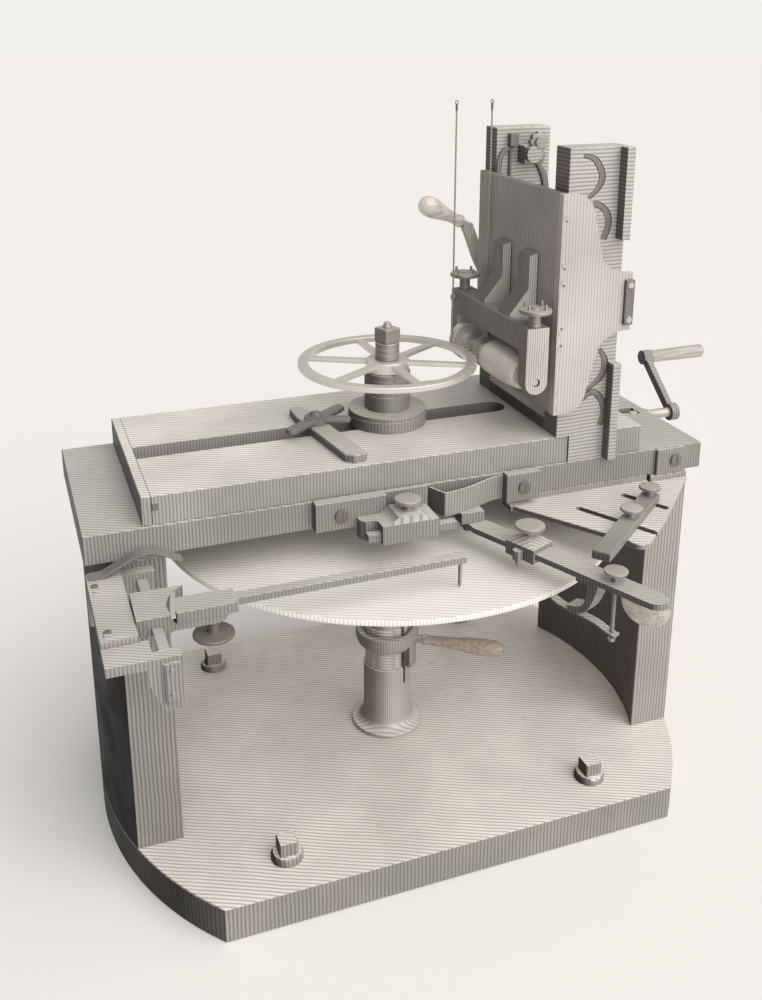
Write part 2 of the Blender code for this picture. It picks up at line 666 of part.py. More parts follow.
def make_ring_nut():
    """The nut that closes the pillar's split top on the spindle, turned by its long handle."""
    low, high = ring_levels()
    inner = THREAD_RADIUS + RUNNING
    profile = [(inner, low), (RING_RADIUS * 0.83, low), (RING_RADIUS * 0.94, low + RING_HEIGHT * 0.25)]
    profile += [
        (RING_RADIUS, low + RING_HEIGHT * 0.55),
        (RING_RADIUS, high - 0.003),
        (RING_RADIUS - 0.003, high),
    ]
    profile += [(RING_RADIUS * 0.82, high), (RING_RADIUS * 0.80, high - 0.006), (inner, high - 0.006)]
    ring = turned("ring_nut", profile, steps=40)
    z = low + RING_HEIGHT * 0.41
    stem = rod("stem_ring", 0.006, RING_RADIUS - 0.004, RING_RADIUS + 0.030, (0, 0, z), "X", 16)
    stem.data.transform(Matrix.Rotation(radians(HANDLE_TURN), 4, "Z"))
    lug = box(
        "lug_ring", (RING_RADIUS * 0.60, RING_RADIUS * 0.98), (-0.009, 0.009), (low - 0.026, low + 0.010)
    )
    lug.data.transform(Matrix.Rotation(radians(SLIT_TURN + 10), 4, "Z"))
    keep_clear = rod("cutter_lug", PILLAR_RADIUS + RUNNING, low - 0.03, low - 0.0001, steps=40)
    keep_clear_2 = rod("cutter_ring_bore", inner, low - 0.03, high + 0.01, steps=40)
    return made_of(cut(join(ring, stem, lug), keep_clear, keep_clear_2), "dark_steel"), z


def make_ring_handle(z):
    """The turned handle, pear-shaped, on the ring nut's stem."""
    start = RING_RADIUS + 0.012
    shape = [
        (0.0, 0.50),
        (0.10, 0.55),
        (0.30, 0.62),
        (0.55, 0.90),
        (0.75, 1.0),
        (0.90, 0.84),
        (0.97, 0.50),
        (1.0, 0.0),
    ]
    profile = [(0, start)] + [(HANDLE_RADIUS * r, start + HANDLE_LENGTH * t) for t, r in shape]
    handle = turned("ring_nut_handle", profile, (0, 0, z), "X", 24)
    bore = rod("cutter_handle", 0.006 + GAP, start - 0.01, RING_RADIUS + 0.030 + GAP, (0, 0, z), "X", 16)
    for obj in (handle, bore):
        obj.data.transform(Matrix.Rotation(radians(HANDLE_TURN), 4, "Z"))
    return made_of(cut(handle, bore), "turned_wood")


def make_spindle():
    """One stepped shaft from the pillar's footstep to the stud over the wheel."""
    big = SPINDLE_RADIUS + 0.002
    foot = BASE_THICKNESS + GAP + 0.020 + GAP
    plate_under = PLATE_TOP - PLATE_THICKNESS - GAP
    profile = [
        (0, foot),
        (big, foot),
        (big, plate_under - HUB_HEIGHT),
        (HUB_RADIUS * 0.8, plate_under - HUB_HEIGHT),
    ]
    profile += [(HUB_RADIUS, plate_under - HUB_HEIGHT * 0.6), (HUB_RADIUS, plate_under), (big, plate_under)]
    profile += [
        (big, PLATE_TOP + PLATE_BOSS_HEIGHT),
        (SPINDLE_RADIUS, PLATE_TOP + PLATE_BOSS_HEIGHT + 0.001),
    ]
    profile += [
        (SPINDLE_RADIUS, FLANGE_TOP),
        (SPINDLE_TOP_RADIUS, FLANGE_TOP + GAP),
        (SPINDLE_TOP_RADIUS, WASHER_TOP),
    ]
    top = WASHER_TOP + GAP + NUT_HEIGHT + STUD_ABOVE
    profile += [(STUD_RADIUS, WASHER_TOP), (STUD_RADIUS, top - 0.0015), (STUD_RADIUS * 0.7, top), (0, top)]
    return made_of(turned("spindle", profile, steps=36), "steel")


def make_dividing_plate():
    bore = SPINDLE_RADIUS + 0.002 + GAP
    low, edge = PLATE_TOP - PLATE_THICKNESS, 0.0008
    boss, boss_top = PLATE_BOSS_RADIUS, PLATE_TOP + PLATE_BOSS_HEIGHT
    profile = [
        (bore, low),
        (PLATE_RADIUS - edge, low),
        (PLATE_RADIUS, low + edge),
        (PLATE_RADIUS, PLATE_TOP - edge),
    ]
    profile += [(PLATE_RADIUS - edge, PLATE_TOP), (boss, PLATE_TOP), (boss, boss_top - 0.002)]
    profile += [(boss - 0.002, boss_top), (bore, boss_top)]
    return made_of(turned("dividing_plate", profile, steps=96), "brass")


def make_flange():
    bore, low = SPINDLE_RADIUS + GAP, SLIDE_TOP + GAP
    r, groove = FLANGE_RADIUS, FLANGE_TOP - FLANGE_HEIGHT * 0.27
    profile = [(bore, low), (r, low), (r, groove - 0.0012), (r - 0.0012, groove), (r, groove + 0.0012)]
    profile += [(r, FLANGE_TOP - 0.002), (r - 0.002, FLANGE_TOP), (bore, FLANGE_TOP)]
    return made_of(turned("spindle_flange", profile, steps=48), "planed_iron")


def make_sleeve():
    bore, low = SPINDLE_TOP_RADIUS + GAP, FLANGE_TOP + GAP
    r, line = SLEEVE_RADIUS, FLANGE_TOP + GAP + SLEEVE_HEIGHT * 0.42
    profile = [
        (bore, low),
        (r, low),
        (r, line - 0.001),
        (r - 0.001, line),
        (r, line + 0.001),
        (r, SLEEVE_TOP - 0.001),
    ]
    profile += [(r - 0.001, SLEEVE_TOP), (bore, SLEEVE_TOP)]
    return made_of(turned("arbor_sleeve", profile, steps=40), "steel")


def make_wheel():
    """The wheel being cut: rim, hub, spokes and the first tooth spaces, from the cutter to the front."""
    bore, low = SPINDLE_TOP_RADIUS + GAP, SLEEVE_TOP + GAP
    rim_low = low + WHEEL_HUB_BELOW
    rim_high = rim_low + WHEEL_THICKNESS
    r, inner = WHEEL_RADIUS, WHEEL_RADIUS - WHEEL_RIM
    wheel = turned(
        "work_wheel", [(inner, rim_low), (r, rim_low), (r, rim_high), (inner, rim_high)], steps=78
    )
    hub = turned(
        "hub_wheel",
        [(bore, low), (WHEEL_HUB_RADIUS, low), (WHEEL_HUB_RADIUS, HUB_TOP), (bore, HUB_TOP)],
        steps=36,
    )
    half = SPOKE_WIDTH / 2
    for i in range(SPOKES):
        spoke = box(
            f"spoke_{i}",
            (WHEEL_HUB_RADIUS - SINK, inner + SINK),
            (-half, half),
            (rim_low + 0.0008, rim_high - 0.0008),
        )
        spoke.data.transform(Matrix.Rotation(radians(SPOKE_TURN + 360 * i / SPOKES), 4, "Z"))
        join(wheel, spoke)
    join(wheel, hub)
    for i in range(TEETH_CUT):
        floor, out = r - TOOTH_DEPTH, r + 0.01
        space = box(
            f"cutter_tooth_{i}",
            (floor, out),
            (-TOOTH_SPACE / 2, TOOTH_SPACE / 2),
            (rim_low - 0.01, rim_high + 0.01),
        )
        space.data.transform(Matrix.Rotation(-2 * pi * i / WHEEL_TEETH, 4, "Z"))
        cut(wheel, space)
    return made_of(wheel, "brass")


def make_washers():
    bore, low = SPINDLE_TOP_RADIUS + GAP, HUB_TOP + GAP
    r, edge = WASHER_RADIUS, 0.0007
    profile = [(bore, low), (r, low)]
    for share in (0.34, 0.67):
        z = low + WASHER_HEIGHT * share
        profile += [(r, z - edge), (r - edge, z), (r, z + edge)]
    profile += [(r, WASHER_TOP), (bore, WASHER_TOP)]
    return made_of(turned("arbor_collars", profile, steps=32), "steel")


def make_arbor_nut():
    low, half = WASHER_TOP + GAP, NUT_SIDE / 2
    nut = box("arbor_nut", (-half, half), (-half, half), (low, low + NUT_HEIGHT))
    nut.data.transform(Matrix.Rotation(radians(20), 4, "Z"))
    round_edges(nut, 0.0012)
    return made_of(
        cut(nut, rod("cutter_arbor_nut", STUD_RADIUS + GAP, low - 0.01, low + 0.04, steps=24)), "dark_steel"
    )


# ---- Slot clamp -------------------------------------------------------------------------------------------
def make_slot_clamp():
    """A bar across the slot, pulled down by a winged nut on a stud in the bed."""
    low = SLIDE_TOP + GAP
    high = low + CLAMP_THICKNESS
    w, x, y = CLAMP_WIDTH / 2, CLAMP_X, CLAMP_Y
    outline = [
        (x - w, y - CLAMP_FRONT + 0.010),
        (x - w + 0.010, y - CLAMP_FRONT),
        (x + w - 0.003, y - CLAMP_FRONT),
    ]
    outline += [(x + w, y - CLAMP_FRONT + 0.004), (x + w, y + CLAMP_BACK * 0.45)]
    outline += arc((x, y + CLAMP_BACK - w * 0.72), w * 0.72, 0, 180, 8) + [(x - w, y + CLAMP_BACK * 0.45)]
    bar = slab("clamp_bar", turned_by(outline, CLAMP_TURN, (x, y)), low, high)
    round_edges(bar, 0.0015)
    cut(bar, rod("cutter_clamp", CLAMP_STUD_RADIUS + RUNNING, low - 0.01, high + 0.01, (x, y, 0), steps=20))
    made_of(bar, "cast_iron")
    wing_low = high + GAP
    wing_high = wing_low + WING_THICKNESS
    shank = CLAMP_STUD_RADIUS
    profile = [
        (0, BED_TOP - 0.024 + GAP),
        (shank, BED_TOP - 0.024 + GAP),
        (shank, wing_low),
        (0.016, wing_low),
    ]
    profile += [(0.016, wing_high), (shank, wing_high), (shank, wing_high + 0.005), (0, wing_high + 0.006)]
    screw = turned("clamp_screw", profile, (x, y, 0), steps=28)
    for i, (angle, share) in enumerate(((36, 1.0), (216, 1.0), (-20, 0.8))):
        c, s = cos(radians(angle)), sin(radians(angle))
        reach = WING_LENGTH * share
        outline = stadium(
            (x + 0.006 * c, y + 0.006 * s), (x + reach * c, y + reach * s), WING_WIDTH * share, 6
        )
        wing = slab(f"wing_{i}", outline, wing_low + 0.001, wing_high - 0.001)
        join(screw, round_edges(wing, 0.002))
    return bar, made_of(screw, "dark_steel")


# ---- Tower ------------------------------------------------------------------------------------------------
def make_cheeks():
    """The tower's two cheeks. The near one has a foot that comes down through the plate's notch."""
    near_in = TOWER_NEAR + CHEEK_THICKNESS
    near = box(
        "tower_cheek_near",
        (TOWER_FRONT, TOWER_BACK),
        (TOWER_NEAR, near_in),
        (SLIDE_TOP + GAP, TOWER_TOP - TOWER_TOP_STEP),
    )
    round_edges(near, 0.0008)
    foot = box(
        "foot_cheek",
        (TOWER_FRONT + 0.020 + GAP, TOWER_BACK + GAP),
        (TOWER_NEAR, near_in),
        (SLIDE_UNDERSIDE, SLIDE_TOP + GAP + SINK),
    )
    join(near, foot, *guide_strips())
    cut(
        near,
        rod(
            "cutter_lift_near",
            LIFT_SHAFT_RADIUS + RUNNING,
            TOWER_NEAR + 0.010,
            near_in + 0.01,
            (LIFT_X, 0, LIFT_Z),
            "Y",
            24,
        ),
    )
    far_in = TOWER_FAR - CHEEK_THICKNESS
    far = box(
        "tower_cheek_far", (TOWER_FRONT, TOWER_BACK), (far_in, TOWER_FAR), (SLIDE_TOP + GAP, TOWER_TOP)
    )
    round_edges(far, 0.0008)
    cut(
        far,
        rod(
            "cutter_lift_far",
            LIFT_SHAFT_RADIUS + RUNNING,
            far_in - 0.01,
            TOWER_FAR + 0.01,
            (LIFT_X, 0, LIFT_Z),
            "Y",
            24,
        ),
    )
    join(far, *top_stop())
    return made_of(near, "planed_iron"), made_of(far, "planed_iron")


def make_sill():
    """The sill between the cheeks' feet, with its raised rear tie."""
    y = (TOWER_NEAR + CHEEK_THICKNESS + GAP, TOWER_FAR - CHEEK_THICKNESS - GAP)
    low = SLIDE_TOP + GAP
    front, back = TOWER_FRONT, TOWER_BACK
    outline = [(front, low), (back, low), (back, low + SILL_HEIGHT)]
    outline += [(back - SILL_THICKNESS, low + SILL_HEIGHT), (back - SILL_THICKNESS, low + SILL_FOOT)]
    outline += [(front, low + SILL_FOOT)]
    return made_of(round_edges(slab("tower_sill", outline, *y, "Y"), 0.0008), "cast_iron")


def strip_gap():
    """Half of the opening between the two rear strips, in which the cutter slide's arm travels."""
    return WEB_ARM_HALF_HEIGHT + HEAD_TRAVEL + 0.009


def guide_strips():
    """The two guide strips on the near cheek's rear edge, above and below the cutter slide's arm."""
    x = (TOWER_BACK - STRIP_DEPTH, TOWER_BACK)
    y = (TOWER_NEAR - STRIP_STAND, TOWER_NEAR + SINK)
    upper = box("strip_upper", x, y, (FACE_Z + strip_gap(), TOWER_TOP - TOWER_TOP_STEP - 0.0003))
    lower = box("strip_lower", x, y, (SLIDE_UNDERSIDE + 0.0003, FACE_Z - strip_gap()))
    return round_edges(upper, 0.001), round_edges(lower, 0.001)


def make_slide_face():
    """The cutter slide's front plate."""
    face = box(
        "cutter_slide_face",
        (FACE_FRONT, FACE_FRONT + FACE_THICKNESS),
        (TOWER_NEAR, FACE_FAR),
        (FACE_Z - FACE_HALF_HEIGHT, FACE_Z + FACE_HALF_HEIGHT),
    )
    return made_of(join(round_edges(face, 0.0008), lifting_rack()), "planed_iron")


def web_outline():
    """The ogee outline of the cutter slide's web, as (x, z), wide at its arm and narrow at its two ends."""
    front, back = FACE_FRONT, TOWER_BACK + KEEPER_THICKNESS + 2 * GAP
    half, arm = FACE_HALF_HEIGHT, WEB_ARM_HALF_HEIGHT
    shoulder = front + WEB_FLAT
    big, small = 0.052, 0.030
    upper = [(back, arm), (back - 0.006, arm)]
    knee = (back - 0.006, arm + big)
    upper += arc(knee, big, 270, 218, 7)[1:]
    upper += arc((shoulder, half - small), small, 18, 90, 7)
    upper += [(front, half)]
    lower = [(x, -z) for x, z in upper[::-1]]
    return [(x, FACE_Z + z) for x, z in lower + upper]


def make_web():
    """The web on the near side: it carries the slide's face and reaches back past the tower."""
    y = TOWER_NEAR - GAP
    web = slab("cutter_slide_web", web_outline(), y - WEB_THICKNESS, y, "Y")
    front = y - WEB_THICKNESS
    for i, height in enumerate(web_screw_heights()):
        place = (FACE_FRONT + FACE_THICKNESS / 2, 0, FACE_Z + height)
        join(web, rod(f"web_screw_{i}", 0.0032, front - 0.0010, front + SINK, place, "Y", 12))
    return made_of(join(web, *arm_clip()), "planed_iron")


def web_screw_heights():
    return [side * h for side in (1, -1) for h in (0.138, 0.117, 0.056, 0.034)]


def make_keeper():
    """The cross bar behind the tower that closes the cutter slide round it."""
    x = (TOWER_BACK + GAP, TOWER_BACK + GAP + KEEPER_THICKNESS)
    half = WEB_ARM_HALF_HEIGHT - 0.004
    bar = box("cutter_slide_keeper", x, (TOWER_NEAR, TOWER_FAR), (FACE_Z - half, FACE_Z + half))
    return made_of(round_edges(bar, 0.0008), "cast_iron")


def arm_clip():
    """The small plate with two screws at the end of the web's arm."""
    y = TOWER_NEAR - GAP - WEB_THICKNESS
    x = TOWER_BACK + KEEPER_THICKNESS + 0.001 - CLIP_WIDTH / 2
    half = CLIP_HALF_HEIGHT - CLIP_WIDTH / 2
    front = y - CLIP_THICKNESS
    pieces = [
        slab("clip", stadium((x, FACE_Z - half), (x, FACE_Z + half), CLIP_WIDTH, 8), front, y + SINK, "Y")
    ]
    for i, z in enumerate((FACE_Z - half, FACE_Z + half)):
        pieces.append(rod(f"clip_screw_{i}", 0.0042, front - 0.0016, front + SINK, (x, 0, z), "Y", 16))
    return pieces


def lifting_rack():
    """A rack on the back of the slide's face, with a tooth space opposite the pinion's axis."""
    m = TOOTH_MODULE
    pitch = pi * m
    root, tip = TOWER_FRONT + RACK_BACK, RACK_PITCH_X + 0.85 * m
    start = FACE_FRONT + FACE_THICKNESS - SINK
    low, high = FACE_Z - FACE_HALF_HEIGHT + 0.0115, FACE_Z + FACE_HALF_HEIGHT - 0.004
    first, last = -int((LIFT_Z - low) / pitch - 0.6), int((high - LIFT_Z) / pitch - 0.6)
    slope = tan(radians(20))
    half = pitch * 0.23
    outline = [(start, low), (root, low)]
    for i in range(first, last):
        z = LIFT_Z + (i + 0.5) * pitch
        at_root, at_tip = half + 1.1 * m * slope, half - 0.85 * m * slope
        outline += [(root, z - at_root), (tip, z - at_tip), (tip, z + at_tip), (root, z + at_root)]
    outline += [(root, high), (start, high)]
    return slab("lifting_rack", outline, RACK_Y - RACK_WIDTH / 2, RACK_Y + RACK_WIDTH / 2, "Y")


def make_pinion_shaft():
    """The lifting shaft with its pinion in one piece: a tooth lies towards the rack."""
    near, far = TOWER_NEAR + 0.012, LEVER_Y + LEVER_THICKNESS + 0.006
    shaft = rod("lifting_shaft", LIFT_SHAFT_RADIUS, near, far, (LIFT_X, 0, LIFT_Z), "Y", 24)
    m, count, r = TOOTH_MODULE, PINION_TEETH, PITCH_RADIUS
    base_radius = r * cos(radians(20))
    tip, root = r + 0.85 * m, r - 1.1 * m
    half = 0.23 * 2 * pi / count  # half a tooth's angle on the pitch circle
    involute = lambda radius: tan(acos(base_radius / radius)) - acos(base_radius / radius)
    outline = []
    for i in range(count):
        middle = pi + 2 * pi * i / count
        flank = [base_radius + (tip - base_radius) * k / 2 for k in range(3)]
        side = [(radius, half + involute(r) - involute(radius)) for radius in flank]
        side = [(root, side[0][1] * 1.05)] + side
        for radius, angle in side:
            outline.append((LIFT_X + radius * cos(middle - angle), LIFT_Z + radius * sin(middle - angle)))
        for radius, angle in side[::-1]:
            outline.append((LIFT_X + radius * cos(middle + angle), LIFT_Z + radius * sin(middle + angle)))
    y = RACK_WIDTH / 2 + 0.001
    pinion = slab("pinion", outline, RACK_Y - y, RACK_Y + y, "Y")
    return made_of(join(shaft, pinion), "steel")


def make_lever():
    """The lever that lifts the cutter slide: a bent arm on the shaft's far end, and a turned grip."""
    hub = (LIFT_X, LIFT_Z)
    bend, neck = (hub[0] - 0.043, hub[1] + 0.072), (hub[0] - 0.0647, hub[1] + 0.126)
    y = (LEVER_Y, LEVER_Y + LEVER_THICKNESS)
    path = smooth_path(
        [hub, (hub[0] - 0.022, hub[1] + 0.032), bend, (hub[0] - 0.055, hub[1] + 0.103), neck], 4
    )
    arm = solidify_strip("lift_lever", path, 0.017, *y, "Y")
    round_edges(arm, 0.0015)
    boss = rod("boss_lever", 0.017, y[0] - 0.003, y[1] + 0.002, (hub[0], 0, hub[1]), "Y", 28)
    bore = rod(
        "cutter_lever", LIFT_SHAFT_RADIUS + GAP, y[0] - 0.02, y[1] + 0.02, (hub[0], 0, hub[1]), "Y", 24
    )
    middle = LEVER_Y + LEVER_THICKNESS / 2
    direction = Vector((-0.894, 0, 0.447)).normalized()
    start = Vector((neck[0], middle, neck[1]))
    pin = turned("pin_lever", [(0, -0.010), (0.0050, -0.010), (0.0050, 0.020), (0, 0.020)], steps=16)
    shape = [
        (0, 0.0),
        (0.62, 0.0),
        (0.66, 0.06),
        (0.54, 0.18),
        (0.60, 0.34),
        (0.88, 0.58),
        (1.0, 0.74),
        (0.90, 0.90),
        (0.55, 0.98),
        (0.0, 1.0),
    ]
    profile = [(LEVER_GRIP_RADIUS * r, 0.010 + LEVER_GRIP_LENGTH * t) for r, t in shape]
    grip = turned("lever_grip", profile, steps=24)
    cut(
        grip,
        turned(
            "cutter_grip",
            [(0, -0.01), (0.0050 + GAP, -0.01), (0.0050 + GAP, 0.020 + GAP), (0, 0.020 + GAP)],
            steps=16,
        ),
    )
    aim = direction.to_track_quat("Z", "Y").to_matrix().to_4x4()
    for obj in (pin, grip, bpy.data.objects["cutter_grip"]):
        obj.data.transform(Matrix.Translation(start) @ aim)
    join(arm, boss, pin)
    cut(arm, bore)
    keep = bpy.data.objects["cutter_grip"]
    keep.hide_render = True
    return made_of(arm, "dark_steel"), made_of(grip, "turned_wood")


def top_stop():
    """The stop near the tower's top: a block on the far cheek's inner side, with a round boss."""
    y = TOWER_FAR - CHEEK_THICKNESS
    x, z = TOWER_FRONT + 0.050, TOWER_TOP - 0.040
    block = box("stop_at_top", (x - 0.016, x + 0.016), (y - 0.020, y + SINK), (z - 0.010, z + 0.016))
    boss = rod("stop_boss", 0.012, y - 0.030, y - SINK, (x - 0.004, 0, z + 0.004), "Y", 24)
    return round_edges(block, 0.0015), boss


# ---- Cutter frame -----------------------------------------------------------------------------------------
def make_cutter_frame():
    """The inverted U that holds the cutter's arbor: a beam with an arm at each end."""
    left, right = CUTTER_X - FRAME_HALF, CUTTER_X + FRAME_HALF
    near, far = FRAME_NEAR, FRAME_FAR
    beam = box("cutter_frame", (left, right), (near, far), (BEAM_BOTTOM, BEAM_TOP))
    round_edges(beam, 0.0008)
    for name, y in (("near", near), ("far", far - FRAME_ARM)):
        outline = [(right, BEAM_BOTTOM + SINK), (left, BEAM_BOTTOM + SINK)]
        outline += arc((CUTTER_X, CUTTER_Z), FRAME_HALF, 180, 360, 12)
        join(
            beam,
            slab(
                f"arm_{name}", outline, y + (0.0002 if name == "near" else 0), y + FRAME_ARM - 0.0002, "Y"
            ),
        )
        hole = rod(
            f"cutter_arbor_{name}",
            ARBOR_RADIUS + RUNNING,
            y - 0.01,
            y + FRAME_ARM + 0.01,
            (CUTTER_X, 0, CUTTER_Z),
            "Y",
            20,
        )
        seat = rod(
            f"cutter_capstan_{name}",
            CAPSTAN_SHANK_RADIUS * 0.6 + RUNNING,
            BEAM_TOP - 0.030,
            BEAM_TOP + 0.01,
            capstan_place(name),
            "Z",
            20,
        )
        cut(beam, hole, seat)
    return made_of(join(beam, *knees()), "dark_steel")


def capstan_place(name):
    y = FRAME_NEAR + FRAME_ARM / 2 if name == "near" else FRAME_FAR - FRAME_ARM / 2
    return (CUTTER_X, y, 0)


def make_capstan_screw(name):
    """A capstan-headed adjusting screw with four tommy pins."""
    place = capstan_place(name)
    r, shank = CAPSTAN_RADIUS, CAPSTAN_SHANK_RADIUS
    foot, disc = BEAM_TOP + GAP, BEAM_TOP + CAPSTAN_STAND
    profile = [
        (0, BEAM_TOP - 0.028),
        (shank * 0.6, BEAM_TOP - 0.028),
        (shank * 0.6, foot),
        (shank, foot),
        (shank, disc),
    ]
    profile += [(r - 0.002, disc), (r, disc + CAPSTAN_HEIGHT * 0.4), (r, disc + CAPSTAN_HEIGHT * 0.6)]
    profile += [(r - 0.002, disc + CAPSTAN_HEIGHT), (0, disc + CAPSTAN_HEIGHT)]
    screw = turned(f"capstan_screw_{name}", profile, place, "Z", 32)
    for i in range(4):
        turn = radians(30 + 90 * i)
        at = (place[0] + r * 0.72 * cos(turn), place[1] + r * 0.72 * sin(turn), 0)
        top = disc + CAPSTAN_HEIGHT
        join(screw, rod(f"tommy_{name}_{i}", 0.0017, top - SINK, top + 0.007, at, "Z", 10))
    return made_of(screw, "steel")


def knees():
    """The two knee brackets that stand on the beam and are screwed to the slide's face."""
    back, foot = FACE_FRONT - GAP, BEAM_TOP
    left = CUTTER_X - FRAME_HALF + 0.006
    outline = [
        (back, foot - SINK),
        (back, foot + 0.084),
        (back - 0.013, foot + 0.080),
        (back - 0.013, foot + 0.036),
    ]
    outline += [(left, foot + 0.004), (left, foot - SINK)]
    pieces = []
    for name, y in (("far", KNEE_FAR_Y), ("near", KNEE_NEAR_Y)):
        knee = slab(f"knee_{name}", outline, y - KNEE_WIDTH / 2, y + KNEE_WIDTH / 2, "Y")
        pieces.append(round_edges(knee, 0.001))
    return pieces


def make_arbor():
    """The cutter's arbor, with the collar that the cutter sits against and the grooved pulley."""
    r, near, far = ARBOR_RADIUS, FRAME_NEAR + 0.003, FRAME_FAR - 0.003
    start = CUTTER_THICKNESS / 2 + GAP
    profile = [
        (0, near),
        (r, near),
        (r, start),
        (r + 0.006, start),
        (r + 0.006, start + 0.010),
        (r, start + 0.010),
    ]
    profile += pulley_profile()
    profile += [(r, far), (0, far)]
    return made_of(turned("cutter_arbor", profile, (CUTTER_X, 0, CUTTER_Z), "Y", 40), "brass")


def pulley_profile():
    """The pulley's half section, with a hollow turned in its near face."""
    half, y = PULLEY_WIDTH / 2, PULLEY_Y
    r, groove = PULLEY_RADIUS, PULLEY_RADIUS - GROOVE_DEPTH
    near = y - half
    profile = [
        (ARBOR_RADIUS, near - 0.004),
        (r * 0.42, near - 0.004),
        (r * 0.50, near + 0.002),
        (r * 0.80, near + 0.002),
    ]
    profile += [(r * 0.86, near), (r, near), (r, near + 0.003), (groove, y - 0.0014), (groove, y + 0.0014)]
    profile += [(r, y + half - 0.003), (r, y + half), (ARBOR_RADIUS, y + half)]
    return profile


def make_cutter():
    """The toothed cutter disc, a ring with pointed teeth."""
    half, count = CUTTER_THICKNESS / 2, 30
    outline = []
    for i in range(count):
        a, b = 2 * pi * i / count, 2 * pi * (i + 0.7) / count
        outline.append((CUTTER_X + CUTTER_RADIUS * cos(a), CUTTER_Z + CUTTER_RADIUS * sin(a)))
        outline.append(
            (CUTTER_X + (CUTTER_RADIUS - 0.003) * cos(b), CUTTER_Z + (CUTTER_RADIUS - 0.003) * sin(b))
        )
    disc = slab("cutter", outline, -half, half, "Y")
    bore = rod("cutter_cutter_bore", ARBOR_RADIUS + GAP, -0.01, 0.01, (CUTTER_X, 0, CUTTER_Z), "Y", 24)
    return made_of(cut(disc, bore), "steel")


def make_bell():
    """The bell-shaped nut that holds the cutter on its arbor: a domed end and a slightly tapered body."""
    bore, r = ARBOR_RADIUS + GAP, BELL_RADIUS
    start, end = -CUTTER_THICKNESS / 2 - GAP, BELL_NEAR
    dome = BELL_FAR
    profile = [(bore, start), (r * 0.42, start), (r * 0.42, dome + 0.006), (r * 0.50, dome + 0.002)]
    profile += [
        (r * (0.50 + 0.50 * sin(radians(t))), dome - 0.020 * (1 - cos(radians(t))))
        for t in (18, 36, 54, 72, 90)
    ]
    profile += [(r * 0.98, (dome + end) / 2), (r * 0.86, end + 0.006), (r * 0.78, end), (bore, end)]
    return made_of(turned("arbor_bell", profile[::-1], (CUTTER_X, 0, CUTTER_Z), "Y", 40), "brass")


def make_band():
    """The gut drive band: it comes down in front, passes under the pulley and goes up behind."""
    r = PULLEY_RADIUS - GROOVE_DEPTH + BAND_RADIUS + GAP
    under = arc((CUTTER_X, CUTTER_Z), r, 180, 360, 24)
    rise = BAND_TOP - CUTTER_Z
    steps = 26
    runs = []
    for name, side in (("front", -1), ("rear", 1)):
        x = CUTTER_X + side * r
        upright = [(x, CUTTER_Z + GAP + rise * i / steps) for i in range(1, steps + 1)]
        points = (under[::-1] + upright) if side < 0 else [(x, CUTTER_Z + 3 * GAP)] + upright
        curve = bpy.data.curves.new(f"band_run_{name}", "CURVE")
        curve.dimensions = "3D"
        curve.bevel_depth = BAND_RADIUS
        curve.bevel_resolution = 2
        curve.use_fill_caps = True
        spline = curve.splines.new("POLY")
        spline.points.add(len(points) - 1)
        for point, (px, pz) in zip(spline.points, points):
            point.co = (px, PULLEY_Y, pz, 1)
        run = bpy.data.objects.new(f"band_run_{name}", curve)
        bpy.context.scene.collection.objects.link(run)
        runs.append(made_of(run, "gut"))
    return runs


# ---- Index bracket and index arm at the left --------------------------------------------------------------
def make_index_bracket():
    """A C-shaped bracket on the left leg: rear pad, rail, front shelf and the guide bar's web."""
    left, back, front = BED_LEFT, LEG_FRONT - GAP, BRACKET_FRONT
    top = BRACKET_TOP
    shelf_top = top - SHELF_DROP
    rail = box(
        "index_bracket",
        (left, left + RAIL_WIDTH),
        (front + SHELF_DEPTH - SINK, back),
        (top - RAIL_THICKNESS, top),
    )
    pad = box("pad_index", (left, WEB_RIGHT), (back - 0.016, back), (top - 0.060, top - 0.0006))
    shelf = box(
        "shelf_index",
        (left, left + RAIL_WIDTH + 0.010),
        (front, front + SHELF_DEPTH),
        (shelf_top - SHELF_THICKNESS, shelf_top),
    )
    cross = box(
        "cross_index",
        (left + RAIL_WIDTH, WEB_RIGHT),
        (front, front + 0.016),
        (shelf_top - SHELF_THICKNESS, shelf_top - 0.0004),
    )
    outline = [
        (WEB_LEFT, shelf_top - 0.004),
        (WEB_LEFT + 0.002, shelf_top - 0.028),
        (WEB_LEFT + 0.010, shelf_top - 0.048),
    ]
    outline += [
        (WEB_LEFT + 0.019, shelf_top - WEB_HEIGHT),
        (WEB_RIGHT - 0.0004, shelf_top - WEB_HEIGHT + 0.003),
    ]
    outline += [(WEB_RIGHT - 0.0004, shelf_top - 0.004)]
    web = slab("web_index", outline, front + 0.0005, front + 0.0155, "Y")
    join(rail, pad, shelf, cross, web, *bar_plate())
    for i, y in enumerate((back - 0.044, front + SHELF_DEPTH + 0.010)):
        at = (left + 0.009, y, top - SINK)
        join(
            rail,
            turned(
                f"rail_screw_{i}",
                [(0, 0), (0.005, 0), (0.005, SINK + 0.0004), (0.004, SINK + 0.001), (0, SINK + 0.001)],
                at,
                "Z",
                16,
            ),
        )
    return made_of(rail, "cast_iron")


def make_guide_bar():
    """The square bar that the index block slides on."""
    half = GUIDE_BAR_SIDE / 2
    y = (BRACKET_FRONT + 0.016 + GAP, LEG_FRONT - GAP - 0.016 - GAP)
    top = BRACKET_TOP - SHELF_DROP - 0.0006
    bar = box("index_guide_bar", (GUIDE_BAR_X - half, GUIDE_BAR_X + half), y, (top - GUIDE_BAR_SIDE, top))
    return made_of(round_edges(bar, 0.0006), "steel")


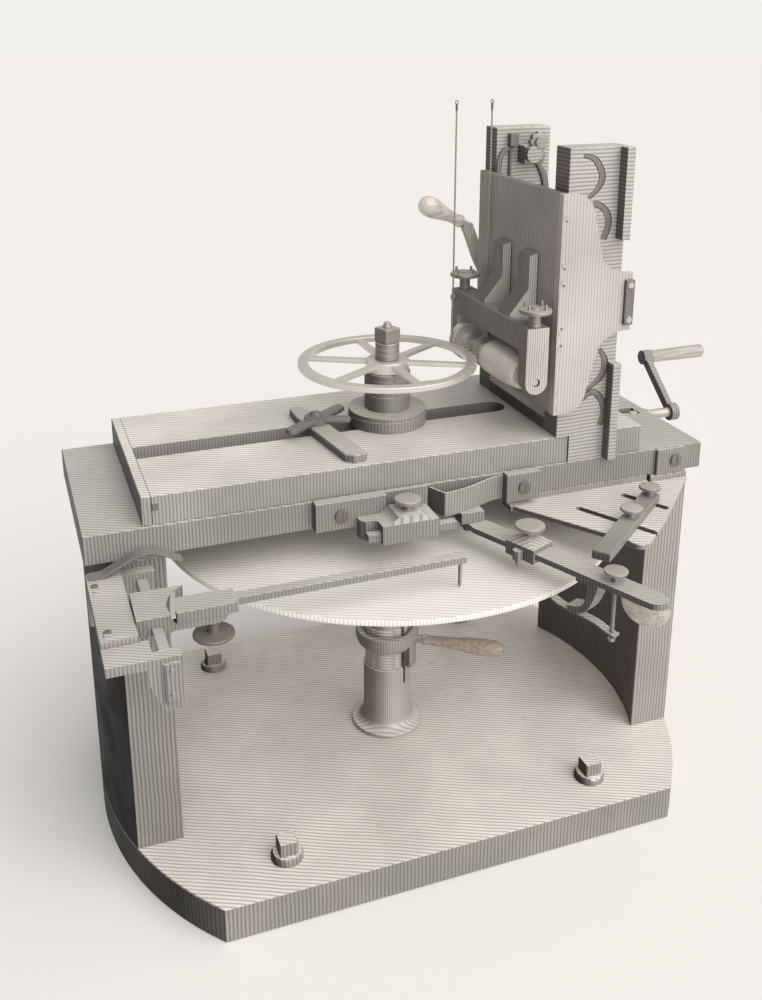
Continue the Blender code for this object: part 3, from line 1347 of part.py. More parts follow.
def bar_plate():
    """The small plate with two screws on the bracket's web."""
    right = WEB_RIGHT - 0.002
    top = BRACKET_TOP - SHELF_DROP - 0.006
    y = BRACKET_FRONT
    pieces = [box("bar_plate", (right - 0.018, right), (y - 0.004, y + SINK), (top - 0.048, top))]
    for i, z in enumerate((top - 0.010, top - 0.038)):
        pieces.append(
            rod(f"bar_plate_screw_{i}", 0.0042, y - 0.0058, y - 0.002, (right - 0.009, 0, z), "Y", 16)
        )
    return pieces


def make_index_block():
    """The block that slides on the guide bar, with a tongue under the carrier and a curved seat for it."""
    top = BRACKET_TOP + 0.004
    low = top - YOKE_THICKNESS
    seat = CARRIER_RADIUS + 0.0045
    centre = (CARRIER_X, CARRIER_Y)
    reach = degrees(asin((YOKE_BACK - CARRIER_Y) / seat)), degrees(asin((CARRIER_Y - YOKE_FRONT) / seat))
    outline = [(YOKE_LEFT, YOKE_BACK), (YOKE_LEFT - 0.001, YOKE_FRONT)]
    outline += arc(centre, seat, 180 + reach[1], 180 - reach[0], 10)
    block = slab("index_block", outline, low, top)
    round_edges(block, 0.0008)
    tongue_low = low
    tongue = slab(
        "tongue_index",
        stadium((GUIDE_BAR_X + 0.012, CARRIER_Y), (CARRIER_X, CARRIER_Y), 0.034, 10),
        tongue_low + 0.0002,
        low + TONGUE_THICKNESS,
    )
    join(block, tongue)
    half = GUIDE_BAR_SIDE / 2 + RUNNING
    bar_top = BRACKET_TOP - SHELF_DROP - 0.0006
    passage = box(
        "cutter_guide_bar",
        (GUIDE_BAR_X - half, GUIDE_BAR_X + half),
        (YOKE_FRONT - 0.03, YOKE_BACK + 0.03),
        (bar_top - GUIDE_BAR_SIDE - RUNNING, bar_top + RUNNING),
    )
    hole = rod(
        "cutter_tongue", 0.005 + RUNNING, low - 0.01, low + 0.02, (CARRIER_X, CARRIER_Y, 0), steps=20
    )
    return made_of(cut(block, passage, hole), "cast_iron")


def carrier_levels():
    top = BRACKET_TOP + 0.004
    return top - YOKE_THICKNESS + TONGUE_THICKNESS + GAP, top


def make_carrier():
    """The carrier on the tongue: its left edge is an arc and its right end holds the index arm."""
    low, top = carrier_levels()
    centre = (CARRIER_X, CARRIER_Y)
    outline = arc(centre, CARRIER_RADIUS, 158, 202, 8)
    outline += [
        (CARRIER_X + 0.004, CARRIER_Y - 0.0175),
        (CARRIER_RIGHT, CARRIER_Y - 0.0155),
        (CARRIER_RIGHT, CARRIER_Y + 0.0155),
    ]
    outline += [(CARRIER_X + 0.004, CARRIER_Y + 0.0175)]
    carrier = slab("index_carrier", outline, low, top)
    round_edges(carrier, 0.0008)
    hole = rod(
        "cutter_carrier", 0.005 + RUNNING, low - 0.01, top - 0.004, (CARRIER_X, CARRIER_Y, 0), steps=20
    )
    return made_of(join(cut(carrier, hole), *index_arm()), "cast_iron")


def index_arm():
    """The long index arm with the pin that drops on the dividing plate."""
    _, top = carrier_levels()
    half = ARM_WIDTH / 2
    under = top - ARM_THICKNESS
    arm = box(
        "arm_of_index",
        (CARRIER_RIGHT - SINK, ARM_TIP),
        (CARRIER_Y - half, CARRIER_Y + half),
        (under, top - 0.0003),
    )
    low = PLATE_TOP + GAP
    r = PIN_RADIUS
    profile = [(0, low), (r * 0.3, low + 0.0004), (r, low + 0.005), (r, under + SINK), (0, under + SINK)]
    return round_edges(arm, 0.001), turned("index_pin", profile, (ARM_TIP - 0.006, CARRIER_Y, 0), "Z", 14)


def make_thumb_screw():
    """The thumb screw under the carrier, with a flat milled head."""
    _, top = carrier_levels()
    tongue_low = top - YOKE_THICKNESS
    head = tongue_low - 0.020
    r = THUMB_RADIUS
    profile = [
        (0, head - 0.005),
        (r * 0.93, head - 0.005),
        (r, head - 0.0035),
        (r, head - 0.001),
        (r * 0.93, head),
        (0.0075, head),
    ]
    profile += [
        (0.0065, tongue_low - GAP),
        (0.005, tongue_low - GAP),
        (0.005, top - 0.0045),
        (0, top - 0.0045),
    ]
    return made_of(turned("index_thumb_screw", profile, (CARRIER_X, CARRIER_Y, 0), "Z", 36), "dark_steel")


def make_lift_spring():
    """The flat curved spring at the bed's left end, from the rail to its free tip by the rim."""
    z = BRACKET_TOP + GAP + 0.0015
    x = BED_LEFT
    route = [
        (x + 0.002, z),
        (x + 0.012, z),
        (x + 0.020, z + 0.0012),
        (x + 0.038, z + 0.010),
        (x + 0.060, z + 0.020),
        (x + 0.082, z + 0.020),
    ]
    route += [(x + 0.102, z + 0.010), (x + 0.112, z + 0.005)]
    path = smooth_path(route, 4)
    return made_of(
        solidify_strip("lift_spring", path, 0.003, LEG_FRONT - 0.018, LEG_FRONT - GAP - 0.002, "Y"), "steel"
    )


# ---- Front guide, stop block and leaf spring --------------------------------------------------------------
def plate_screw(name, x, front):
    """A slotted screw in a plate on the bed's front."""
    return slotted_screw(name, 0.0085, 0.003 + SINK, (x, front + SINK, BED_UNDERSIDE + 0.020), "Y")


def make_front_guide():
    back = FRONT - GAP
    low, high = BED_UNDERSIDE + 0.0015, BED_TOP + 0.002
    thick = box("front_guide", (GUIDE_LEFT, GUIDE_STEP), (back - GUIDE_THICK, back), (low, high))
    round_edges(thick, 0.0008)
    thin = box(
        "thin_guide",
        (GUIDE_STEP - SINK, GUIDE_RIGHT),
        (back - GUIDE_THIN, back - 0.0002),
        (low + 0.0002, high - 0.0004),
    )
    screw = plate_screw("guide_screw", GUIDE_LEFT + 0.034, back - GUIDE_THICK)
    return made_of(join(thick, thin, screw), "planed_iron")


def make_stop_body():
    """The stop block in front of the guide: a lug at its left, a raised middle and a flat front."""
    back = FRONT - GAP - GUIDE_THIN - RUNNING
    low, high = BED_UNDERSIDE - 0.009, BED_UNDERSIDE + 0.016
    clear = FRONT - GAP - GUIDE_THICK - RUNNING
    outline = [
        (BLOCK_LEFT, BLOCK_FRONT),
        (BLOCK_RIGHT, BLOCK_FRONT),
        (BLOCK_RIGHT, back),
        (GUIDE_STEP + 0.017, back),
    ]
    outline += [
        (GUIDE_STEP + 0.017, clear),
        (BLOCK_LEFT - 0.021, clear),
        (BLOCK_LEFT - 0.021, clear - 0.012),
    ]
    outline += arc((BLOCK_LEFT - 0.010, BLOCK_FRONT + 0.008), 0.0145, 112, 50, 5)
    outline += [(BLOCK_LEFT, BLOCK_FRONT + 0.016)]
    block = slab("stop_block", outline, low, high)
    mid = (BLOCK_LEFT + BLOCK_RIGHT) / 2
    hump = [
        (mid - 0.030, high - SINK),
        (mid + 0.030, high - SINK),
        (mid + 0.017, high + 0.010),
        (mid - 0.017, high + 0.010),
    ]
    join(block, slab("hump_stop", hump, BLOCK_FRONT + 0.0002, clear - 0.0005, "Y"))
    hole = rod("cutter_block_knob", 0.005 + RUNNING, high - 0.012, high + 0.03, knob_place(), "Z", 20)
    return made_of(cut(join(block, stop_bar()), hole), "cast_iron")


def bar_c_place():
    return BLOCK_FRONT + 0.012, BED_UNDERSIDE - 0.001


def knob_place():
    return ((BLOCK_LEFT + BLOCK_RIGHT) / 2 + 0.003, BLOCK_FRONT + 0.022, 0)


def stop_bar():
    """The square bar along the stop block, whose two ends are the stops."""
    half = BLOCK_BAR_SIDE / 2
    y, z = bar_c_place()
    bar = box(
        "stop_bar", (BLOCK_LEFT - 0.017, BLOCK_RIGHT + 0.027), (y - half, y + half), (z - half, z + half)
    )
    return round_edges(bar, 0.0008)


def make_thumb_knob(
    name, radius, place, seat, bottom, shank=0.005, height=0.008, neck=0.006, finish="steel"
):
    """A round knob over a seat at height seat, on a shank that goes down to bottom."""
    profile = [(0, bottom), (shank, bottom), (shank, seat), (shank + 0.0022, seat)]
    head = seat + neck
    profile += [(shank + 0.0022, head)] + knob_profile(radius, height, head)[1:]
    return made_of(turned(name, profile, (place[0], place[1], 0), "Z", 32), finish)


def make_spring_plate():
    front, back = FRONT - GAP - GUIDE_THICK, FRONT - 2 * GAP - LEAF_THICKNESS
    z = (BED_UNDERSIDE + 0.0005, BED_TOP + 0.002)
    plate = box("spring_plate", (SPRING_PLATE_LEFT, SPRING_PLATE_RIGHT), (front, back), z)
    round_edges(plate, 0.0008)
    return made_of(
        join(plate, plate_screw("spring_plate_screw", SPRING_PLATE_LEFT + 0.026, front)), "planed_iron"
    )


def make_leaf_spring():
    """The bowed leaf spring, gripped between the spring plate and the bed."""
    back = FRONT - GAP - LEAF_THICKNESS / 2
    route = [
        (SPRING_PLATE_RIGHT - 0.004, back),
        (SPRING_PLATE_LEFT - 0.002, back),
        (SPRING_PLATE_LEFT - 0.022, back - 0.004),
    ]
    route += [
        (SPRING_PLATE_LEFT - 0.050, back - 0.016),
        (SPRING_PLATE_LEFT - 0.074, back - 0.023),
        (SPRING_PLATE_LEFT - 0.094, back - 0.026),
    ]
    path = smooth_path(route, 4) + [(SPRING_PLATE_LEFT - 0.1060, back - 0.0005)]
    return made_of(
        solidify_strip("leaf_spring", path, LEAF_THICKNESS, BED_UNDERSIDE + 0.002, BED_TOP - 0.003), "steel"
    )


def make_end_plate():
    back = FRONT - GAP
    z = (BED_UNDERSIDE + 0.0005, BED_TOP - 0.0005)
    plate = box("bed_end_plate", (END_PLATE_LEFT, END_PLATE_RIGHT), (back - 0.006, back), z)
    round_edges(plate, 0.0008)
    return made_of(
        join(plate, plate_screw("end_plate_screw", END_PLATE_LEFT + 0.030, back - 0.006)), "planed_iron"
    )


# ---- Second index arm -------------------------------------------------------------------------------------
def along_arm(distance, side=0.0):
    """A point this far along the second index arm from its pivot, and this far to its left."""
    c, s = cos(radians(ARM_B_ANGLE)), sin(radians(ARM_B_ANGLE))
    return (PIVOT_X + distance * c - side * s, PIVOT_Y + distance * s + side * c)


def strip_on_arm(name, from_distance, to_distance, side, low, high):
    corners = [(from_distance, -side), (to_distance, -side), (to_distance, side), (from_distance, side)]
    return slab(name, [along_arm(*corner) for corner in corners], low, high)


def upright_on_arm(name, outline, width):
    """An outline of (distance along the arm, height), pushed across the arm to this width."""
    obj = slab(name, outline, -width / 2, width / 2, "Y")
    obj.data.transform(
        Matrix.Translation((PIVOT_X, PIVOT_Y, 0)) @ Matrix.Rotation(radians(ARM_B_ANGLE), 4, "Z")
    )
    return obj


def make_arm_b():
    """The second index arm: a flat bar that swings under the bed, with a root eye and a rounded end."""
    top, low = ARM_B_TOP, ARM_B_TOP - ARM_B_THICKNESS
    half = ARM_B_WIDTH / 2
    outline = [
        along_arm(*p) for p in ((-0.004, -half * 0.45), (0.020, -half), (ARM_B_LENGTH - 0.004, -half))
    ]
    outline += [along_arm(ARM_B_LENGTH - 0.010 + x, y) for x, y in arc((0, 0), half, -80, 80, 8)]
    outline += [along_arm(*p) for p in ((ARM_B_LENGTH - 0.004, half), (0.020, half), (-0.004, half * 0.45))]
    arm = slab("second_arm", outline, low, top)
    round_edges(arm, 0.0008)
    eye = rod("eye_arm", 0.012, low, top - 0.0005, (PIVOT_X, PIVOT_Y, 0), "Z", 24)
    join(arm, eye, rim_claw())
    cut(arm, rod("cutter_pivot", 0.004 + RUNNING, low - 0.01, top + 0.01, (PIVOT_X, PIVOT_Y, 0), "Z", 20))
    x, y = along_arm(DRAW_ROD)
    cut(arm, rod("cutter_draw_rod", 0.0025 + RUNNING, low - 0.01, top + 0.01, (x, y, 0), "Z", 16))
    return made_of(arm, "planed_iron")


def arm_pivot():
    """The lug under the bed's front and the headed pin that the second arm turns on."""
    top, low = ARM_B_TOP, ARM_B_TOP - ARM_B_THICKNESS
    x, y = PIVOT_X, PIVOT_Y
    lug = box(
        "pivot_lug", (x - 0.016, x + 0.016), (y - 0.012, FRONT + 0.030), (top + GAP, BED_UNDERSIDE + SINK)
    )
    lip = top + GAP + SINK
    profile = [
        (0, low - 0.006),
        (0.008, low - 0.006),
        (0.008, low - GAP),
        (0.004, low - GAP),
        (0.004, lip),
        (0, lip),
    ]
    return lug, turned("pivot_pin", profile, (x, y, 0), "Z", 20)


def make_runner():
    """The runner that slides on the second arm, with a pyramid top and its index pin in a side holder."""
    top, low = ARM_B_TOP, ARM_B_TOP - ARM_B_THICKNESS
    half = ARM_B_WIDTH / 2
    a, b = RUNNER_FROM, RUNNER_TO
    body = strip_on_arm("arm_runner", a, b, half + 0.0045, low - 0.005, top + 0.006)
    c = (a + b) / 2
    bm = bmesh.new()
    ring = [
        along_arm(a, -half - 0.0045),
        along_arm(b, -half - 0.0045),
        along_arm(b, half + 0.0045),
        along_arm(a, half + 0.0045),
    ]
    apex = [
        along_arm(c + dx, dy)
        for dx, dy in ((-0.008, -0.008), (0.008, -0.008), (0.008, 0.008), (-0.008, 0.008))
    ]
    bottom = [bm.verts.new((x, y, top + 0.0055)) for x, y in ring]
    upper = [bm.verts.new((x, y, top + 0.014)) for x, y in apex]
    bm.faces.new(bottom)
    bm.faces.new(upper)
    for i in range(4):
        j = (i + 1) % 4
        bm.faces.new((bottom[i], bottom[j], upper[j], upper[i]))
    pyramid = into_object("pyramid_runner", bm)
    x, y = along_arm(c, -half - 0.0075)
    tip = PLATE_TOP + PIN_RISE
    profile = [
        (0, tip),
        (0.0006, tip + 0.0003),
        (0.0024, tip + 0.005),
        (0.0024, low - 0.004),
        (0.0065, low - 0.004),
    ]
    holder = turned(
        "holder_runner", profile + [(0.0065, top + 0.001), (0, top + 0.001)], (x, y, 0), "Z", 16
    )
    join(body, pyramid, holder)
    passage = strip_on_arm(
        "cutter_runner", a - 0.02, b + 0.02, half + RUNNING, low - RUNNING, top + RUNNING
    )
    kx, ky = along_arm(c)
    hole = rod("cutter_runner_knob", 0.0045 + RUNNING, top - 0.001, top + 0.03, (kx, ky, 0), "Z", 20)
    return made_of(cut(body, passage, hole), "cast_iron")


def rim_claw():
    """The claw under the second arm. It passes the plate's rim and its foot turns in under it."""
    low = ARM_B_TOP - ARM_B_THICKNESS
    foot = PLATE_TOP - PLATE_THICKNESS - 0.0165
    a, b = CLAW_FROM, CLAW_TO
    outer = smooth_path(
        [(b, low), (b - 0.004, low - 0.018), (b - 0.016, foot + 0.010), (b - 0.038, foot)], 4
    )
    inner = smooth_path(
        [
            (a - 0.012, foot + 0.008),
            (b - 0.022, foot + 0.016),
            (b - 0.015, low - 0.016),
            (b - 0.016, low - 0.007),
        ],
        4,
    )
    outline = [(b, low + SINK)] + outer + inner + [(a, low - 0.007), (a, low + SINK)]
    return upright_on_arm("rim_claw", outline, 0.022)


def make_claw_leaf():
    """The leaf under the claw's foot: it is drawn up by the rod and bears on the plate's underside."""
    foot = PLATE_TOP - PLATE_THICKNESS - 0.0165 - GAP
    route = [
        (0.128, foot + 0.010),
        (0.150, foot + 0.0005),
        (CLAW_TO - 0.036, foot - 0.0016),
        (0.205, foot - 0.0035),
        (DRAW_ROD - 0.006, foot - 0.008),
        (DRAW_ROD + 0.007, foot - 0.010),
    ]
    leaf = solidify_strip("claw_leaf", smooth_path(route, 4), 0.003, -0.006, 0.006, "Y")
    leaf.data.transform(
        Matrix.Translation((PIVOT_X, PIVOT_Y, 0)) @ Matrix.Rotation(radians(ARM_B_ANGLE), 4, "Z")
    )
    x, y = along_arm(DRAW_ROD)
    cut(leaf, rod("cutter_leaf", 0.0025 + RUNNING, foot - 0.03, foot + 0.02, (x, y, 0), "Z", 14))
    return made_of(leaf, "steel")


def make_draw_rod():
    """The knob on the second arm, with the rod that goes down to the leaf."""
    foot = PLATE_TOP - PLATE_THICKNESS - 0.0165 - GAP
    x, y = along_arm(DRAW_ROD)
    top = ARM_B_TOP + GAP
    end = foot - 0.016
    profile = [
        (0, end - 0.003),
        (0.0045, end - 0.003),
        (0.0045, end),
        (0.0025, end),
        (0.0025, top),
        (0.005, top),
        (0.004, top + 0.006),
    ]
    profile += knob_profile(0.0145, 0.0065, top + 0.008)[1:]
    return made_of(turned("draw_knob", profile, (x, y, 0), "Z", 28), "steel")


def make_arm_grip():
    """The rounded grip under the second arm's end."""
    top = ARM_B_TOP - ARM_B_THICKNESS - GAP
    start, end = ARM_B_LENGTH - 0.053, ARM_B_LENGTH + 0.009
    middle, half = (start + end) / 2, (end - start) / 2
    bm = bmesh.new()
    bmesh.ops.create_uvsphere(bm, u_segments=24, v_segments=16, radius=1)
    for v in bm.verts:
        v.co = (middle + v.co.x * half, v.co.y * 0.0165, top - 0.006 + v.co.z * 0.026)
    grip = into_object("arm_grip", bm)
    grip.data.transform(
        Matrix.Translation((PIVOT_X, PIVOT_Y, 0)) @ Matrix.Rotation(radians(ARM_B_ANGLE), 4, "Z")
    )
    cover = strip_on_arm("cutter_arm_grip", start - 0.05, end + 0.05, 0.05, top, top + 0.06)
    return made_of(cut(grip, cover), "turned_wood")


# ---- Side plate at the right ------------------------------------------------------------------------------
def side_slots():
    """The centre lines of the side plate's two slots."""
    c, s = cos(radians(SLOT_ANGLE)), sin(radians(SLOT_ANGLE))
    return [
        ((x - h * c, y - h * s), (x + h * c, y + h * s))
        for x, y, h in ((0.229, -0.2395, 0.054), (0.2965, -0.2035, 0.030))
    ]


def make_side_plate():
    """The flat plate under the bed's right front, with two slots for the bar's knobs."""
    top, low = SIDE_PLATE_TOP, SIDE_PLATE_TOP - SIDE_PLATE_THICKNESS
    y = LEG_FRONT - GAP
    outline = [(0.119, y)]
    outline += [(0.212, -0.291)] + arc((0.2275, -0.2985), 0.0135, 195, 300, 8)
    outline += [(0.289, -0.264), (0.402, y)]
    plate = slab("side_plate", outline, low, top)
    round_edges(plate, 0.0008)
    strip = box(
        "root_side", (0.119, 0.339), (y - 0.006, FRONT + 0.014), (low + 0.0002, BED_UNDERSIDE - GAP)
    )
    lip = box("lip_side", (0.119, 0.339), (y - 0.004, FRONT - GAP), (low + 0.0001, top - 0.0001))
    under = box("cutter_root", (0.05, 0.45), (y - 0.02, FRONT - GAP), (top, BED_UNDERSIDE + 0.01))
    join(plate, cut(strip, under), lip)
    for i, (start, end) in enumerate(side_slots()):
        cut(plate, slab(f"cutter_side_slot_{i}", stadium(start, end, 0.0105, 6), low - 0.01, top + 0.01))
    return made_of(plate, "planed_iron")


def bar_g_knobs():
    """Where the cross bar's centre line meets the two slots."""
    c, s = cos(radians(BAR_G_ANGLE)), sin(radians(BAR_G_ANGLE))
    places = []
    for (x0, y0), (x1, y1) in side_slots():
        dx, dy = x1 - x0, y1 - y0
        t = ((x0 - BAR_G_X) * dy - (y0 - BAR_G_Y) * dx) / (c * dy - s * dx)
        places.append((BAR_G_X + t * c, BAR_G_Y + t * s))
    return places


def make_cross_bar():
    """The bar that two knobs hold on the side plate. Its left end lies over the second arm."""
    low = SIDE_PLATE_TOP + GAP
    half, w = BAR_G_LENGTH / 2, BAR_G_WIDTH / 2
    x, y = BAR_G_X, BAR_G_Y
    outline = turned_by(
        [(x - half, y - w), (x + half, y - w), (x + half, y + w), (x - half, y + w)], BAR_G_ANGLE, (x, y)
    )
    bar = slab("cross_bar", outline, low, low + BAR_G_THICKNESS)
    round_edges(bar, 0.001)
    for i, place in enumerate(bar_g_knobs()):
        cut(bar, rod(f"cutter_bar_{i}", 0.0045 + RUNNING, low - 0.01, low + 0.03, (*place, 0), "Z", 20))
    return made_of(bar, "planed_iron")


def make_bar_knobs():
    knobs = []
    seat = SIDE_PLATE_TOP + GAP + BAR_G_THICKNESS + GAP
    bottom = SIDE_PLATE_TOP - SIDE_PLATE_THICKNESS - 0.004
    for name, place in zip(("left", "right"), bar_g_knobs()):
        knobs.append(
            make_thumb_knob(f"bar_knob_{name}", BAR_KNOB_RADIUS, place, seat, bottom, 0.0045, 0.007, 0.006)
        )
    return knobs


# ---- Assembly ---------------------------------------------------------------------------------------------
def main():
    clear_scene()
    make_base()
    make_legs()
    make_bed()
    make_pillar()
    make_front_guide()
    make_spring_plate()
    make_leaf_spring()
    make_end_plate()
    make_index_bracket()
    make_guide_bar()
    make_lift_spring()
    make_side_plate()

    bar, screw = make_slot_clamp()
    on_axis("clamp_axis", (CLAMP_X, CLAMP_Y, SLIDE_TOP), [screw])

    ring, handle_z = make_ring_nut()
    on_axis("ring_axis", (0, 0, ring_levels()[0]), [ring, make_ring_handle(handle_z)])

    turning = [make_spindle(), make_dividing_plate(), make_flange(), make_sleeve(), make_wheel()]
    on_axis("spindle_axis", (0, 0, PLATE_TOP), turning + [make_washers(), make_arbor_nut()])

    carriage = [make_sliding_plate(), make_batten(), *make_cheeks(), make_sill()]
    slide = on_axis("carriage_start", (0, 0, SLIDE_UNDERSIDE), carriage)

    on_axis("lead_screw_axis", (BED_RIGHT, 0, SCREW_Z), [make_lead_screw()])
    arm, grip, top = make_crank()
    crank = on_axis("crank_axis", (CRANK_X, 0, SCREW_Z), [arm])
    on_axis("crank_grip_axis", (CRANK_X, *top), [grip], crank)

    head_pieces = [make_slide_face(), make_web(), make_keeper(), make_cutter_frame()]
    head = on_axis("head_start", (FACE_FRONT, 0, FACE_Z), head_pieces, slide)
    on_axis("band_start", (CUTTER_X, PULLEY_Y, CUTTER_Z), make_band(), head)
    on_axis("arbor_axis", (CUTTER_X, 0, CUTTER_Z), [make_arbor(), make_cutter(), make_bell()], head)
    for name in ("near", "far"):
        x, y, _ = capstan_place(name)
        on_axis(f"capstan_axis_{name}", (x, y, BEAM_TOP), [make_capstan_screw(name)], head)
    on_axis("lifting_axis", (LIFT_X, LEVER_Y, LIFT_Z), [make_pinion_shaft(), *make_lever()], slide)

    block = on_axis("index_start", (GUIDE_BAR_X, YOKE_FRONT, BRACKET_TOP), [make_index_block()])
    carrier = on_axis("carrier_axis", (CARRIER_X, CARRIER_Y, BRACKET_TOP), [make_carrier()], block)
    on_axis("thumb_axis", (CARRIER_X, CARRIER_Y, BRACKET_TOP - 0.04), [make_thumb_screw()], carrier)

    stop = on_axis("stop_start", (BLOCK_LEFT, BLOCK_FRONT, BED_UNDERSIDE), [make_stop_body()])
    seat = BED_UNDERSIDE + 0.016 + 0.010 + GAP
    knob = make_thumb_knob(
        "stop_knob", KNOB_RADIUS, knob_place(), seat, BED_UNDERSIDE + 0.016 - 0.012 + GAP
    )
    on_axis("stop_knob_axis", (knob_place()[0], knob_place()[1], seat), [knob], stop)

    arm_pieces = [make_arm_b(), make_claw_leaf(), make_arm_grip()]
    arm_b = on_axis("second_arm_axis", (PIVOT_X, PIVOT_Y, ARM_B_TOP), arm_pieces)
    x, y = along_arm(DRAW_ROD)
    on_axis("draw_axis", (x, y, ARM_B_TOP), [make_draw_rod()], arm_b)
    x, y = along_arm((RUNNER_FROM + RUNNER_TO) / 2)
    runner = on_axis("runner_start", (x, y, ARM_B_TOP), [make_runner()], arm_b)
    knob = make_thumb_knob(
        "runner_knob", 0.019, (x, y), ARM_B_TOP + 0.014 + GAP, ARM_B_TOP + RUNNING + GAP, 0.0045
    )
    on_axis("runner_knob_axis", (x, y, ARM_B_TOP + 0.014), [knob], runner)

    bar = on_axis("cross_bar_start", (BAR_G_X, BAR_G_Y, SIDE_PLATE_TOP), [make_cross_bar()])
    for knob, place in zip(make_bar_knobs(), bar_g_knobs()):
        on_axis(f"{knob.name}_axis", (*place, SIDE_PLATE_TOP), [knob], bar)


main()
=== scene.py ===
# %% [markdown]
# # A wheel-cutting engine
#
# A clockmaker uses this bench machine to cut the teeth of wheels. The wheel turns on an upright spindle
# with a large dividing plate, and a pin on an index arm stops the plate at each tooth. A tower slides along
# the bed and carries a small cutter, which a gut band drives.
#
# The packed model gives the places and sizes. Everything below dresses it: flat castings are worked up from
# copies of its nodes, and turned pieces are modelled anew.

import json
from math import atan2, cos, degrees, pi, radians, sin

import bpy
from mathutils import Matrix, Vector


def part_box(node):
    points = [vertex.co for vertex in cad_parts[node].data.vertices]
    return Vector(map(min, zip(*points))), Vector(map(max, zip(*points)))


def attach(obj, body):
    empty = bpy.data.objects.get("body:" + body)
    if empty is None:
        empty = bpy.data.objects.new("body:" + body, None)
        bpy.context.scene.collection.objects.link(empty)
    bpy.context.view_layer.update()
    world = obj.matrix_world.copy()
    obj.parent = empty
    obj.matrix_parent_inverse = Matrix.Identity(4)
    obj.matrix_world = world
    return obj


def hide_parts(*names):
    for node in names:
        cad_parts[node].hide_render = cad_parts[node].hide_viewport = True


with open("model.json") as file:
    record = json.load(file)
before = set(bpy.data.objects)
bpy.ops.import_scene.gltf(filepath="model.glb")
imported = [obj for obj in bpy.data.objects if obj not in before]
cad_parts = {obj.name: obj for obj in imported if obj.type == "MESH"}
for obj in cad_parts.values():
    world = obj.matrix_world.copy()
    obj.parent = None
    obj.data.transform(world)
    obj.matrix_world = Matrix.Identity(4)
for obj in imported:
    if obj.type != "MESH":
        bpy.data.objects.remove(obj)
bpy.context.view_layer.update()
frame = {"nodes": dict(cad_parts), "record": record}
record = frame["record"]
BODY = {node: body for body, nodes in record["behaviour"]["bodies"].items() for node in nodes}
bpy.ops.object.select_all(action="DESELECT")

# %% [markdown]
# ## The camera
#
# The machine is seen from its left front corner and a little above, with upright lines nearly upright. A
# camera that looks down makes upright lines lean, and a lens shift moves the frame over the subject instead
# of turning the camera, so a small shift is used here with a moderate tilt.

# %% Place the camera
camera_data = bpy.data.cameras.new("corner_view")
camera_data.sensor_width = 36
camera_data.lens = 39.06
camera_data.shift_y = -0.15
camera = bpy.data.objects.new("corner_view", camera_data)
camera.location = (-0.504, -1.343, 1.085)
camera.rotation_euler = (radians(72.86), 0, radians(-20.22))
bpy.context.scene.collection.objects.link(camera)
bpy.context.scene.camera = camera
print("lens", camera_data.lens, "mm")

# %% [markdown]
# ## Floor and light
#
# The machine stands on a plain pale floor. A broad lamp stands high at the right front, and a second one
# stands low in front, so that light also reaches the base under the bed. Faces that look left get little of
# either, which makes every edge read. Sun lamps with a wide angle are used because they light the floor
# evenly as far as the horizon, and the world adds a weak light from all sides. The camera sees the world in
# the floor's pale colour, so no horizon shows.

# %% Lay the floor
PAPER = (0.888, 0.868, 0.835)
FLOOR_PAINT = (0.86, 0.845, 0.825)


def paper_floor():
    bpy.ops.mesh.primitive_circle_add(vertices=64, radius=30, fill_type="NGON", location=(0, 0, -0.0005))
    floor = bpy.context.object
    floor.name = "floor"
    material = bpy.data.materials.new("paper_floor")
    material.use_nodes = True
    shader = material.node_tree.nodes["Principled BSDF"]
    shader.inputs["Base Color"].default_value = (*FLOOR_PAINT, 1)
    shader.inputs["Roughness"].default_value = 0.9
    shader.inputs["Specular IOR Level"].default_value = 0.1
    floor.data.materials.append(material)
    return floor


print("floor:", paper_floor().name)

# %% Set the lamps and the world
def lamp(name, strength, angle, towards, tint):
    data = bpy.data.lights.new(name, "SUN")
    data.energy, data.angle, data.color = strength, radians(angle), tint
    obj = bpy.data.objects.new(name, data)
    obj.rotation_euler = Vector(towards).to_track_quat("-Z", "Y").to_euler()
    bpy.context.scene.collection.objects.link(obj)
    print("lamp:", name, strength)


def pale_world(ambient):
    world = bpy.data.worlds.new("studio")
    bpy.context.scene.world = world
    world.use_nodes = True
    tree = world.node_tree
    background = tree.nodes["Background"]
    background.inputs["Color"].default_value = (1, 0.985, 0.965, 1)
    background.inputs["Strength"].default_value = ambient
    seen = tree.nodes.new("ShaderNodeBackground")
    seen.inputs["Color"].default_value = (*PAPER, 1)
    path = tree.nodes.new("ShaderNodeLightPath")
    which = tree.nodes.new("ShaderNodeMixShader")
    either = tree.nodes.new("ShaderNodeMath")
    either.operation = "MAXIMUM"
    tree.links.new(path.outputs["Is Camera Ray"], either.inputs[0])
    tree.links.new(path.outputs["Is Transmission Ray"], either.inputs[1])
    tree.links.new(either.outputs[0], which.inputs[0])
    tree.links.new(background.outputs[0], which.inputs[1])
    tree.links.new(seen.outputs[0], which.inputs[2])
    tree.links.new(which.outputs[0], tree.nodes["World Output"].inputs[0])


lamp("window_light", 1.30, 65, (-0.30, 0.60, -1.0), (1.0, 0.985, 0.96))
lamp("low_front", 1.80, 80, (-0.20, 1.0, -0.50), (1.0, 0.99, 0.97))
pale_world(0.45)
bpy.context.scene.view_settings.view_transform = "Standard"

# %% [markdown]
# ## Wiring a finish
#
# A finish is a small tree of nodes. The same few nodes come again and again, so a helper class adds a node,
# sets or links its inputs, and gives short names to sums. Each finish reads Object coordinates, which are
# in metres and move with the piece.

